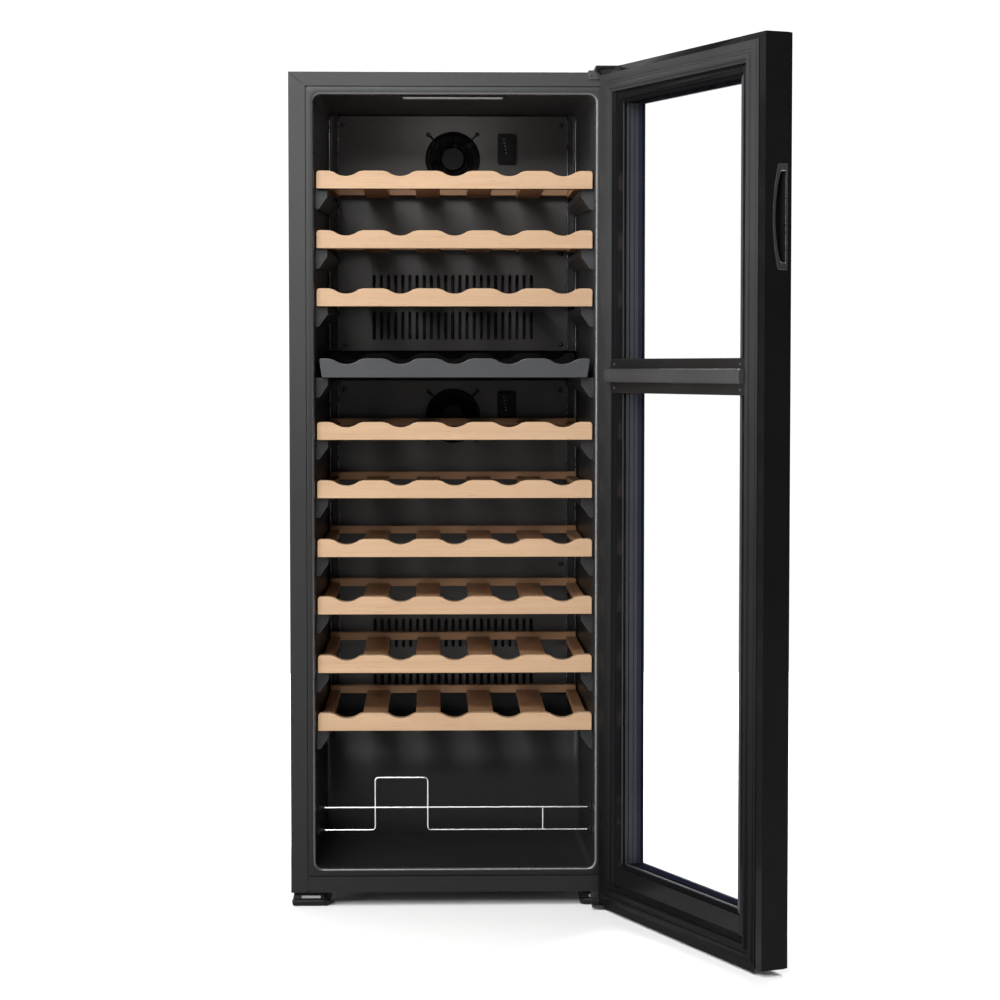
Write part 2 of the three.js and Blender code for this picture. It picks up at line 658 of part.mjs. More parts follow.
function windowRing(width, n0, n1) {
  const [low, high] = WINDOW_Z;
  const outer = doorBox([WINDOW, WIDTH - WINDOW], [n0, n1], WINDOW_Z);
  const across = [WINDOW + width, WIDTH - WINDOW - width];
  const inner = doorBox(across, [n0 - 1, n1 + 1], [low + width, high - width]);
  return outer.subtract(inner);
}

function innerGlass() {
  return doorBox([WINDOW, WIDTH - WINDOW], [12, 16], WINDOW_Z);
}

function glassSpacer() {
  const grooves = windowRing(2, 25, 29).add(windowRing(2, 33, 34));
  return windowRing(6, 16 + GAP, DOOR_CORE_OUT).subtract(grooves);
}

function outerGlass() {
  return doorBox([0, WIDTH], [DOOR_CORE_OUT + GAP, DOOR_OUTER], [DOOR_BOTTOM, DOOR_TOP]);
}

function mullion() {
  const { low, high } = MULLION;
  const points = [[0.6, low + 6], [0.6, high - 6], [4, high], [DOOR_INNER + 3.7, high], [DOOR_INNER + 3.7, low],
    [4, low]].map(([n, z]) => [PIVOT_N - n, z]);
  return alongX(outline(points.reverse()), PIVOT_S - WIDTH + MULLION.end, PIVOT_S - MULLION.end);
}

function mullionBar() {
  const { end, barProud, barLow, barHigh } = MULLION;
  return doorBox([end, WIDTH - end], [-barProud, GAP], [barLow, barHigh]);
}

function bush(z0, z1) {
  const ring = rod('z', BUSH_RADIUS - GAP, z0, z1, [0, 0], 16);
  return ring.subtract(rod('z', PIN_RADIUS + GAP, z0 - 1, z1 + 1, [0, 0], 16));
}

// ---- hinge hardware on the cabinet ----
const AXIS = [PIVOT.x, PIVOT.y];
const UPPER_TONGUE = [1260.4, 1262.4];
const LOWER_TONGUE = [3.5, 7];
const UPPER_BRACKET = { left: 200, right: 246, lipRight: 226, lipLow: 1247, back: 45, reach: 34 };

// the pin is riveted to its bracket's tongue
function hingePin(z0, z1) {
  return rod('z', PIN_RADIUS, z0, z1, AXIS, 16);
}

function upperBracket() {
  // the pad's front edge stays inside the circle swept by the door's inner corner
  const { left, right, lipRight, lipLow, back, reach } = UPPER_BRACKET;
  const padTop = UPPER_TONGUE[0] + 0.3;
  const pad = box([left, right], [-1.5, back], [BODY_TOP + GAP, padTop]);
  const tongue = box([left + 11, right], [-reach, back], UPPER_TONGUE);
  const lip = box([left, lipRight], [-2.4, -GAP], [lipLow, padTop]);
  return joined([pad, tongue, lip, hingePin(1238, UPPER_TONGUE[1])]);
}

function lowerBracket() {
  const ledge = box([206, 246], [3, 58], [18.3, BODY_BOTTOM - GAP]);
  const web = box([206, 246], [3, 5.6], [LOWER_TONGUE[0], BODY_BOTTOM - GAP]);
  const tongue = box([206, 246], [-34, 5.6], LOWER_TONGUE);
  return joined([ledge, web, tongue, hingePin(2, 31)]);
}

function hingeCover() {
  const { right, back, reach } = UPPER_BRACKET;
  const left = UPPER_BRACKET.left + 11;
  const height = [UPPER_TONGUE[0] + 0.6, UPPER_TONGUE[1] + 1.9];
  const outer = box([left - 2, right + 2], [-reach - 2, back + 3], height);
  const roomHeight = [UPPER_TONGUE[0], UPPER_TONGUE[1] + GAP];
  const room = box([left - GAP, right + GAP], [-reach - GAP, back + 1.3], roomHeight);
  return outer.subtract(room);
}

// ---- assembly ----
place(cabinet, 'left_side_panel', sidePanel(-1), paint);
place(cabinet, 'right_side_panel', sidePanel(1), paint);
place(cabinet, 'top_panel', topPanel(), paint);
place(cabinet, 'bottom_front_rail', bottomRail(), paint);
place(cabinet, 'rear_panel', rearPanel(), paint);
place(cabinet, 'rear_grille', rearGrille(), paint);
place(cabinet, 'base_pan', basePan(), paint);
place(cabinet, 'inner_liner', innerLiner(), liner);
place(cabinet, 'foam_insulation', foamInsulation(), foamFill);
place(cabinet, 'ceiling_light', ceilingLight(), lampLens);
place(cabinet, 'zone_divider', zoneDivider(), greyPlastic);
place(cabinet, 'wire_rack', wireRack(), chrome);

for (const [zone, spec] of [['upper', UPPER_COVER], ['lower', LOWER_COVER]]) {
  place(cabinet, `${zone}_evaporator_cover`, evaporatorCover(spec), coverPaint);
  place(cabinet, `${zone}_evaporator`, evaporator(spec.coil), aluminium);
  place(cabinet, `${zone}_fan_guard`, fanGuard(spec.fanZ), blackPlastic);
  place(cabinet, `${zone}_fan_motor`, fanMotor(spec.fanZ), blackPlastic);
  place(cabinet, `${zone}_sensor_housing`, sensorHousing(spec.fanZ), blackPlastic);
  const propeller = rotor(38, 15, 8, 7).translate([0, COVER_FRONT + 5, spec.fanZ]);
  place(cabinet, `${zone}_fan_rotor`, propeller, blackPlastic);
}

BOARD_BOTTOMS.forEach((bottom, index) => {
  place(cabinet, `bottle_shelf_${index + 1}`, bottleShelf(bottom), wood);
});

place(cabinet, 'compressor_bay_panel', bayPanel(), steel);
place(cabinet, 'compressor', compressor(), blackPlastic);
place(cabinet, 'condenser', condenser(), steel);
place(cabinet, 'condenser_fan_frame', bayFanFrame(), blackPlastic);
const bayFanPlace = [BAY_FAN.x - 5, BAY_FAN.y, BAY_FAN.z];
const bayPropeller = rotor(50, 18, 10, 5).rotate([0, 0, 90]).translate(bayFanPlace);
place(cabinet, 'condenser_fan_rotor', bayPropeller, blackPlastic);
place(cabinet, 'drip_tray', dripTray(), blackPlastic);
place(cabinet, 'control_box', controlBox(), circuit);

place(cabinet, 'front_left_foot', frontFoot(-1, BODY_BOTTOM - GAP), blackPlastic);
place(cabinet, 'front_right_foot', frontFoot(1, 18), blackPlastic);
place(cabinet, 'rear_left_foot', rearFoot(-1), blackPlastic);
place(cabinet, 'rear_right_foot', rearFoot(1), blackPlastic);
place(cabinet, 'upper_hinge_bracket', upperBracket(), steel);
place(cabinet, 'lower_hinge_bracket', lowerBracket(), steel);
place(cabinet, 'upper_hinge_cover', hingeCover(), blackPlastic);

door.position.copy(PIVOT);
door.rotation.z = DOOR_OPEN;
place(door, 'door_hinge_stile', hingeStile(), gloss);
place(door, 'door_handle_stile', handleStile(), gloss);
place(door, 'door_top_rail', rail(true), gloss);
place(door, 'door_bottom_rail', rail(false), gloss);
place(door, 'outer_glass', outerGlass(), glass);
place(door, 'inner_glass', innerGlass(), glass);
place(door, 'glass_spacer', glassSpacer(), aluminium);
place(door, 'door_gasket', gasket(), rubber);
place(door, 'door_mullion', mullion(), blackPlastic);
place(door, 'mullion_bar', mullionBar(), greyPlastic);
place(door, 'door_grip_cup', gripCup(), blackPlastic);
place(door, 'upper_hinge_bush', bush(DOOR_TOP - 25.5, DOOR_TOP), greyPlastic);
place(door, 'lower_hinge_bush', bush(DOOR_BOTTOM, DOOR_BOTTOM + 25.5), greyPlastic);

cooler.add(cabinet, door);
cooler.updateMatrixWorld(true);
const bounds = new THREE.Box3().setFromObject(cooler, true);
const centre = bounds.getCenter(new THREE.Vector3());
cooler.position.set(-centre.x, -centre.y, -bounds.min.z);

export default cooler;
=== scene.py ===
"""Looks for a two-zone wine cooler with its glazed door standing open.

Lengths are metres. Cabinet places are (x, y, z) from the middle of the cabinet's front face at floor
level, +Y to the back. Door places are (s, n, z): s from the hinge edge along the closed door and n
forward of the cabinet's face, turned with the door to its rest angle.
"""

import json
import math

import bmesh
import bpy
from mathutils import Matrix, Vector
from mathutils.geometry import tessellate_polygon


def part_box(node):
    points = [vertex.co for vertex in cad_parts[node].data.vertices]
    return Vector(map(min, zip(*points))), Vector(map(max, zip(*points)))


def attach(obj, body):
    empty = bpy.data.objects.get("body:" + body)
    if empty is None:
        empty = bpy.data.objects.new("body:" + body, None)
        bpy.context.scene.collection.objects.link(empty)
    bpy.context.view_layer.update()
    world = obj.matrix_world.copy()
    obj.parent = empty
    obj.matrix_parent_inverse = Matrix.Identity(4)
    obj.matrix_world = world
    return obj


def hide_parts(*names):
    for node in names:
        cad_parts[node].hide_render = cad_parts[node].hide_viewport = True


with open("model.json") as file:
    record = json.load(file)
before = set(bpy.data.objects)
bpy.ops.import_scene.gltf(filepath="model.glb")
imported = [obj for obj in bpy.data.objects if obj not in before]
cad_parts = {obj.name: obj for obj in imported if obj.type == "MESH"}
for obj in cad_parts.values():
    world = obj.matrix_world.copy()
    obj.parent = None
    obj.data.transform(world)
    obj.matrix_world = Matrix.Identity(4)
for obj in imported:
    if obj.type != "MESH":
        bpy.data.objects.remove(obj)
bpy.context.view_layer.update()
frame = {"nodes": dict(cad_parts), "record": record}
nodes = frame["nodes"]
MM = 0.001

# ---- reference places, from the frame ----
liner_low, liner_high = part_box("inner_liner")
casing_low, casing_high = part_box("top_panel")
MID_X = (liner_low[0] + liner_high[0]) / 2
FACE_Y = casing_low[1]
HALF = (casing_high[0] - casing_low[0]) / 2
CABINET = Matrix.Translation((MID_X, FACE_Y, 0))

swing = next(j for j in frame["record"]["behaviour"]["joints"] if j["name"] == "door_swing")
PIVOT = Vector(swing["pos_m"])
DOOR_ANGLE = -math.radians(swing["range_deg"][0])
DOOR_WIDTH = 2 * HALF
PIVOT_S = MID_X + HALF - PIVOT.x
PIVOT_N = FACE_Y - PIVOT.y
DOOR = (
    Matrix.Translation((PIVOT.x, PIVOT.y, 0))
    @ Matrix.Rotation(DOOR_ANGLE, 4, "Z")
    @ Matrix(((-1, 0, 0, PIVOT_S), (0, -1, 0, PIVOT_N), (0, 0, 1, 0), (0, 0, 0, 1)))
)
DOOR_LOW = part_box("door_hinge_stile")[0][2]
DOOR_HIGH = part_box("door_hinge_stile")[1][2]


# ---- node helpers ----
class Nodes:
    """A material's node tree with short ways to add nodes."""

    def __init__(self, name):
        self.material = bpy.data.materials.new(name)
        self.material.use_nodes = True
        self.tree = self.material.node_tree
        self.shader = self.tree.nodes["Principled BSDF"]
        self.coordinate = self.add("ShaderNodeTexCoord").outputs["Object"]

    def add(self, kind, **settings):
        node = self.tree.nodes.new(kind)
        for key, value in settings.items():
            setattr(node, key, value)
        return node

    def link(self, source, target):
        self.tree.links.new(source, target)

    def surface(self, **values):
        for key, value in values.items():
            self.shader.inputs[key.replace("_", " ")].default_value = value

    def base_colour(self, shade):
        self.link(shade, self.shader.inputs["Base Color"])

    def roughness(self, factor, low, high):
        """Roughness between two values, following a factor."""
        self.link(self.span(factor, low, high), self.shader.inputs["Roughness"])

    def stretched(self, scale):
        mapping = self.add("ShaderNodeMapping")
        mapping.inputs["Scale"].default_value = scale
        self.link(self.coordinate, mapping.inputs["Vector"])
        return mapping.outputs["Vector"]

    def noise(self, vector, scale, detail=3.0, roughness=0.5, distortion=0.0):
        node = self.add("ShaderNodeTexNoise")
        node.inputs["Scale"].default_value = scale
        node.inputs["Detail"].default_value = detail
        node.inputs["Roughness"].default_value = roughness
        node.inputs["Distortion"].default_value = distortion
        self.link(vector, node.inputs["Vector"])
        return node.outputs["Fac"]

    def ramp(self, factor, stops):
        node = self.add("ShaderNodeValToRGB")
        ramp = node.color_ramp
        while len(ramp.elements) < len(stops):
            ramp.elements.new(0.5)
        for element, (place, colour) in zip(ramp.elements, stops):
            element.position = place
            element.color = (*colour, 1)
        self.link(factor, node.inputs["Fac"])
        return node.outputs["Color"]

    def span(self, factor, low, high):
        node = self.add("ShaderNodeMapRange")
        node.inputs["To Min"].default_value = low
        node.inputs["To Max"].default_value = high
        self.link(factor, node.inputs["Value"])
        return node.outputs["Result"]

    def mix(self, factor, one, two, blend="MIX"):
        node = self.add("ShaderNodeMix", data_type="RGBA", blend_type=blend)
        for socket, value in ((node.inputs[0], factor), (node.inputs[6], one), (node.inputs[7], two)):
            if isinstance(value, bpy.types.NodeSocket):
                self.link(value, socket)
            else:
                socket.default_value = value if isinstance(value, float) else (*value, 1)
        return node.outputs[2]

    def bump(self, heights):
        normal = None
        for height, distance, strength in heights:
            node = self.add("ShaderNodeBump")
            node.inputs["Distance"].default_value = distance
            node.inputs["Strength"].default_value = strength
            self.link(height, node.inputs["Height"])
            if normal is not None:
                self.link(normal, node.inputs["Normal"])
            normal = node.outputs["Normal"]
        self.link(normal, self.shader.inputs["Normal"])


def moulded(name, dark, light, rough, grain=900.0, depth=0.00008, foot=None, **surface):
    """Plastic or paint: slow shade changes, a fine grain and uneven gloss. With foot, painted shade darkens
    the colour towards the floor, down to that share of itself at floor level, standing in for the lower parts
    getting less light."""
    n = Nodes(name)
    slow = n.noise(n.coordinate, 6.0, 4.0, 0.6)
    fine = n.noise(n.coordinate, grain, 2.0)
    shade = n.ramp(slow, ((0.3, dark), (0.7, light)))
    # painted shade: the colour darkens with height towards the floor, as less light reaches the lower parts
    if foot:
        parts = n.add("ShaderNodeSeparateXYZ")
        n.link(n.coordinate, parts.inputs["Vector"])
        heights = ((0.0, foot), (0.6, 0.4 + 0.5 * foot), (1.0, 1.0))
        painted_floor_shade = n.ramp(parts.outputs["Z"], [(height, (share,) * 3) for height, share in heights])
        shade = n.mix(1.0, shade, painted_floor_shade, "MULTIPLY")
    n.base_colour(shade)
    n.roughness(n.noise(n.coordinate, 35.0, 5.0, 0.7), *rough)
    n.bump(((fine, depth, 0.35),))
    n.surface(**surface)
    return n.material


def beech(name, along, tone=(1, 1, 1)):
    """Sanded beech with its grain along X or Y: growth bands, pores and short dark flecks."""
    n = Nodes(name)
    grain = {"x": (0.6, 9.0, 9.0), "y": (9.0, 0.6, 9.0)}[along]
    fleck = {"x": (14.0, 160.0, 160.0), "y": (160.0, 14.0, 160.0)}[along]
    lines = {"x": (3.0, 330.0, 330.0), "y": (330.0, 3.0, 330.0)}[along]
    shades = ((0.3, (0.302, 0.194, 0.113)), (0.55, (0.342, 0.224, 0.133)), (0.75, (0.374, 0.250, 0.151)))
    middle = tuple(c * t for c, t in zip(shades[1][1], tone))
    bands = n.noise(n.stretched(grain), 5.0, 5.0, 0.6, 0.8)
    wide = n.noise(n.stretched(grain), 1.6, 2.0, 0.5)
    flecks = n.noise(n.stretched(fleck), 3.2, 2.0, 0.55)
    pores = n.noise(n.stretched(lines), 2.2, 3.0, 0.6)
    base = n.ramp(bands, [(place, tuple(c * t for c, t in zip(colour, tone))) for place, colour in shades])
    dim, bright = (tuple(share * c for c in middle) for share in (0.90, 1.14))
    tinted = n.mix(0.35, base, n.ramp(wide, ((0.3, dim), (0.7, bright))))
    marks = n.ramp(flecks, ((0.62, (1, 1, 1)), (0.72, (0.86, 0.79, 0.72))))
    speckled = n.mix(0.75, tinted, marks, "MULTIPLY")
    fine = n.ramp(pores, ((0.35, (0.90, 0.86, 0.82)), (0.6, (1, 1, 1))))
    n.base_colour(n.mix(0.8, speckled, fine, "MULTIPLY"))
    n.roughness(bands, 0.42, 0.62)
    n.bump(((pores, 0.00015, 0.25), (bands, 0.0003, 0.08)))
    n.surface(Specular_IOR_Level=0.4)
    return n.material


def metal(name, colour, rough, brushed=None):
    """Bare or plated metal. brushed stretches its streaks along the axis with the smallest scale."""
    n = Nodes(name)
    vector = n.stretched(brushed) if brushed else n.coordinate
    streaks = n.noise(vector, 60.0, 4.0, 0.6)
    darker = tuple(0.82 * c for c in colour)
    n.base_colour(n.ramp(streaks, ((0.25, darker), (0.75, colour))))
    n.roughness(streaks, *rough)
    n.bump(((streaks, 0.00006, 0.12),))
    n.surface(Metallic=1.0)
    return n.material


def pane(name, tint, cover):
    """Clear glass: a thin film of tint and gloss that lets nearly everything through."""
    n = Nodes(name)
    haze = n.noise(n.coordinate, 2.5, 2.0)
    n.base_colour(n.ramp(haze, ((0.3, tint), (0.7, tuple(0.9 * c for c in tint)))))
    n.surface(Roughness=0.03, Alpha=cover)
    return n.material


def foam_material():
    n = Nodes("rigid_foam")
    cells = n.noise(n.coordinate, 700.0, 2.0)
    n.base_colour(n.ramp(cells, ((0.3, (0.030, 0.030, 0.032)), (0.7, (0.055, 0.055, 0.058)))))
    n.bump(((cells, 0.0004, 0.6),))
    n.surface(Roughness=0.95)
    return n.material


def lens_material():
    n = Nodes("frosted_lens")
    haze = n.noise(n.coordinate, 90.0, 3.0)
    n.base_colour(n.ramp(haze, ((0.3, (0.30, 0.31, 0.33)), (0.7, (0.40, 0.41, 0.43)))))
    n.surface(Roughness=0.35)
    return n.material


# moulded: name, dark and light shade, roughness, grain scale, grain depth, share of shade at the floor
# (painted shade: the colour darkens towards the floor)
MATERIALS = {
    "paint": moulded(
        "casing_paint", (0.0252, 0.0252, 0.0261), (0.0298, 0.0298, 0.0308), (0.38, 0.44),
        1400.0, 0.00005, 0.25, Specular_IOR_Level=0.20),
    "liner": moulded(
        "liner_plastic", (0.0238, 0.0238, 0.0252), (0.0292, 0.0292, 0.0308), (0.28, 0.38),
        800.0, 0.00006, 0.36, Specular_IOR_Level=0.25),
    "rim": moulded(
        "rim_plastic", (0.0215, 0.0215, 0.0223), (0.0250, 0.0250, 0.0259), (0.34, 0.40),
        900.0, 0.00006, 0.22, Specular_IOR_Level=0.18),
    "roll": moulded(
        "rolled_edge", (0.0260, 0.0260, 0.0268), (0.0310, 0.0310, 0.0319), (0.22, 0.28),
        900.0, 0.00003, Specular_IOR_Level=1.0),
    # dark grey paint, tinted warm: the warmth is a painted reflection of the beech shelves
    "cover": moulded(
        "cover_paint", (0.036, 0.0322, 0.0306), (0.046, 0.0412, 0.0392), (0.32, 0.42),
        1200.0, 0.00005),
    "black": moulded(
        "black_plastic", (0.006, 0.006, 0.0064), (0.009, 0.009, 0.0095), (0.34, 0.46),
        Specular_IOR_Level=0.12),
    "grey": moulded(
        "grey_plastic", (0.0265, 0.0275, 0.0300), (0.0325, 0.0335, 0.0362), (0.26, 0.36),
        700.0, 0.0001),
    "bar": moulded(
        "bar_plastic", (0.026, 0.026, 0.0276), (0.032, 0.032, 0.0338), (0.42, 0.52),
        600.0, 0.0001, Specular_IOR_Level=0.25),
    "gloss": moulded(
        "door_gloss", (0.0045, 0.0045, 0.0050), (0.0060, 0.0060, 0.0066), (0.12, 0.18),
        40.0, 0.00003, Specular_IOR_Level=0.04),
    "rubber": moulded(
        "gasket_rubber", (0.0250, 0.0250, 0.0259), (0.0300, 0.0300, 0.0310), (0.40, 0.50),
        500.0, 0.00008, 0.1, Specular_IOR_Level=0.03),
    "circuit": moulded(
        "circuit_board", (0.02, 0.05, 0.03), (0.03, 0.07, 0.04), (0.4, 0.6)),
    "beech_x": beech("beech_across", "x"),
    "beech_y": beech("beech_lengthways", "y", (1.12, 0.94, 0.80)),
    # a darker, warmer copy of the across-grain beech: painted shade on the back rails, which sit under the
    # shelf above
    "beech_back": beech("beech_rail_painted_shade", "x", (1.10, 0.90, 0.74)),
    "chrome": metal("chrome_wire", (0.60, 0.60, 0.62), (0.14, 0.22)),
    "trim": metal("dark_chrome_trim", (0.36, 0.36, 0.37), (0.24, 0.32)),
    "steel": metal("plain_steel", (0.42, 0.42, 0.43), (0.3, 0.45), (1, 20, 1)),
    "dark_steel": metal("blackened_steel", (0.06, 0.06, 0.062), (0.3, 0.42)),
    "coil": metal("coil_aluminium", (0.05, 0.05, 0.052), (0.4, 0.55), (1, 1, 12)),
    "spacer": moulded(
        "spacer_grey", (0.030, 0.031, 0.034), (0.038, 0.039, 0.043), (0.45, 0.55),
        300.0, 0.00005, Specular_IOR_Level=0.1),
    "navy": moulded(
        "sealant_navy", (0.009, 0.011, 0.022), (0.012, 0.0145, 0.028), (0.45, 0.55),
        300.0, 0.00005, Specular_IOR_Level=0.1),
    # the navy at half its shade and without gloss: painted shade for the bottom run, which faces up into the
    # light
    "navy_painted_shade": moulded(
        "sealant_navy_painted_shade", (0.0045, 0.0055, 0.0120), (0.0060, 0.0073, 0.0150), (0.80, 0.90),
        300.0, 0.00005, Specular_IOR_Level=0.0),
    "matte": moulded(
        "matte_black", (0.0035, 0.0035, 0.0038), (0.0050, 0.0050, 0.0054), (0.80, 0.90),
        300.0, 0.00005, Specular_IOR_Level=0.0),
    "tag": moulded(
        "foot_insert", (0.26, 0.26, 0.27), (0.32, 0.32, 0.33), (0.4, 0.5), 500.0, 0.00005),
    "glass": pane("clear_glass", (0.010, 0.012, 0.016), 0.02),
    "foam": foam_material(),
    "lens": lens_material(),
}


# ---- mesh helpers ----
AXIS = 0.0001  # radius at which a lathe profile stops short of its axis


class Solid:
    """Closed pieces gathered into one object. place maps drawing coordinates into the scene."""

    def __init__(self, name, place):
        self.name = name
        self.place = place
        self.points = []
        self.faces = []
        self.slots = []
        self.materials = []

    def add(self, points, faces, material):
        if material not in self.materials:
            self.materials.append(material)
        start = len(self.points)
        self.points += [self.place @ Vector(p) for p in points]
        self.faces += [[start + i for i in face] for face in faces]
        self.slots += [self.materials.index(material)] * len(faces)

    def paint(self, first, count, material):
        """Gives count faces, from first on, another material."""
        if material not in self.materials:
            self.materials.append(material)
        self.slots[first:first + count] = [self.materials.index(material)] * count

    def rings(self, rings, material, closed=False):
        """A skin over rings of equal length: capped at both ends, or closed into a loop."""
        size = len(rings[0])
        count = len(rings)
        faces = []
        for a in range(count if closed else count - 1):
            b = (a + 1) % count
            for i in range(size):
                j = (i + 1) % size
                faces.append([a * size + i, a * size + j, b * size + j, b * size + i])
        if not closed:
            faces.append(list(range(size))[::-1])
            faces.append([(count - 1) * size + i for i in range(size)])
        self.add([p for ring in rings for p in ring], faces, material)

    def prism(self, outline, axis, low, high, material):
        """An outline drawn along an axis: (y, z) along x, (x, z) along y or (x, y) along z."""
        lift = {
            "x": lambda a, b, c: (c, a, b),
            "y": lambda a, b, c: (a, c, b),
            "z": lambda a, b, c: (a, b, c),
        }[axis]
        self.rings([[lift(a, b, c) for a, b in outline] for c in (low, high)], material)

    def box(self, xs, ys, zs, material):
        outline = [(xs[0], ys[0]), (xs[1], ys[0]), (xs[1], ys[1]), (xs[0], ys[1])]
        self.prism(outline, "z", zs[0], zs[1], material)

    def plate(self, outline, holes, low, high, material):
        """A plate in X and Z with holes, between two depths."""
        loops = [outline] + holes
        flat = [p for loop in loops for p in loop]
        triangles = tessellate_polygon([[Vector((a, b, 0)) for a, b in loop] for loop in loops])
        count = len(flat)
        points = [(a, low, b) for a, b in flat] + [(a, high, b) for a, b in flat]
        faces = [list(t) for t in triangles] + [[i + count for i in t[::-1]] for t in triangles]
        start = 0
        for loop in loops:
            for i in range(len(loop)):
                j = (i + 1) % len(loop)
                faces.append([start + i, start + j, start + j + count, start + i + count])
            start += len(loop)
        self.add(points, faces, material)

    def lathe(self, profile, centre, axis, material, steps=40):
        """A profile of (radius, height) pairs turned about an axis through centre."""
        rings = []
        for i in range(steps):
            turn = 2 * math.pi * i / steps
            ring = []
            for radius, height in profile:
                a, b = radius * math.cos(turn), radius * math.sin(turn)
                offset = {"x": (height, a, b), "y": (a, height, b), "z": (a, b, height)}[axis]
                ring.append(tuple(c + o for c, o in zip(centre, offset)))
            rings.append(ring)
        self.rings(rings, material, closed=True)

    def tube(self, path, radius, material, sides=12, closed=False):
        """A round wire along a path of points."""
        path = [Vector(p) for p in path]
        count = len(path)
        rings = []
        side = None
        for i, point in enumerate(path):
            before = path[i - 1] if i or closed else point
            after = path[(i + 1) % count] if i + 1 < count or closed else point
            ahead = (after - before).normalized()
            if side is None:
                side = ahead.orthogonal().normalized()
            side = (side - ahead * side.dot(ahead)).normalized()
            other = ahead.cross(side)
            ring = []
            for k in range(sides):
                turn = 2 * math.pi * k / sides
                ring.append(tuple(point + radius * (math.cos(turn) * side + math.sin(turn) * other)))
            rings.append(ring)
        self.rings(rings, material, closed)

    def finish(self, body, replaced=(), bevel=0.0, segments=3, smooth=35):
        """Makes the object. Edges sharper than smooth degrees stay sharp."""
        mesh = bpy.data.meshes.new(self.name)
        mesh.from_pydata([tuple(p) for p in self.points], [], self.faces)
        for material in self.materials:
            mesh.materials.append(MATERIALS[material])
        mesh.polygons.foreach_set("material_index", self.slots)
        tidy_normals(mesh)
        mesh.shade_smooth()
        mesh.set_sharp_from_angle(angle=math.radians(smooth))
        piece = bpy.data.objects.new(self.name, mesh)
        bpy.context.scene.collection.objects.link(piece)
        if bevel:
            soften(piece, bevel, segments)
        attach(piece, body)
        if replaced:
            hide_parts(*replaced)
        return piece


def tidy_normals(mesh):
    """Joins doubled points and turns every face outwards."""
    work = bmesh.new()
    work.from_mesh(mesh)
    bmesh.ops.remove_doubles(work, verts=work.verts, dist=1e-7)
    bmesh.ops.recalc_face_normals(work, faces=work.faces)
    work.to_mesh(mesh)
    work.free()


def soften(piece, width, segments=3):
    bevel = piece.modifiers.new("edges", "BEVEL")
    bevel.width = width
    bevel.segments = segments
    bevel.limit_method = "ANGLE"
    bevel.angle_limit = math.radians(35)
    bevel.harden_normals = True


def arc(cx, cy, radius, start, end, steps):
    """Points on an arc, in degrees, ends included."""
    turns = [math.radians(start + (end - start) * i / steps) for i in range(steps + 1)]
    return [(cx + radius * math.cos(t), cy + radius * math.sin(t)) for t in turns]


def rounded(x0, x1, z0, z1, radius, steps=6):
    """A rectangle with round corners."""
    return (
        arc(x0 + radius, z0 + radius, radius, 180, 270, steps)
        + arc(x1 - radius, z0 + radius, radius, 270, 360, steps)
        + arc(x1 - radius, z1 - radius, radius, 0, 90, steps)
        + arc(x0 + radius, z1 - radius, radius, 90, 180, steps)
    )


def circle(cx, cz, radius, steps=40):
    return arc(cx, cz, radius, 0, 360 * (1 - 1 / steps), steps - 1)


def screw(solid, centre, axis, radius, material, out=-1):
    """A domed screw head, 0.55 of its radius high; out is the way it faces along the axis."""
    dome = [(AXIS, 0)] + arc(0, 0, radius, 0, 80, 6)
    profile = [(a, out * b * 0.55) for a, b in dome]
    solid.lathe(profile, centre, axis, material, 16)


def keep(node, material, bevel=0.0, segments=2):
    """A CAD node that stays: a node material, and softened edges."""
    piece = nodes[node]
    piece.data.materials.clear()
    piece.data.materials.append(MATERIALS[material])
    if bevel:
        weld = piece.modifiers.new("weld", "WELD")
        weld.merge_threshold = 1e-6
        soften(piece, bevel, segments)


# ---- cavity ----
CAVITY_TOP = 1.232
CAVITY_FLOOR = 0.0587
CAVITY_BACK = 0.4545
OPENING = (0.2111, CAVITY_FLOOR, 1.2242)  # half width, bottom and top
STEP_TOP = 0.2450
RIB_BOTTOM_Z = [z * MM for z in (1085, 996, 909, 802, 708, 620, 531, 444, 355, 267)]


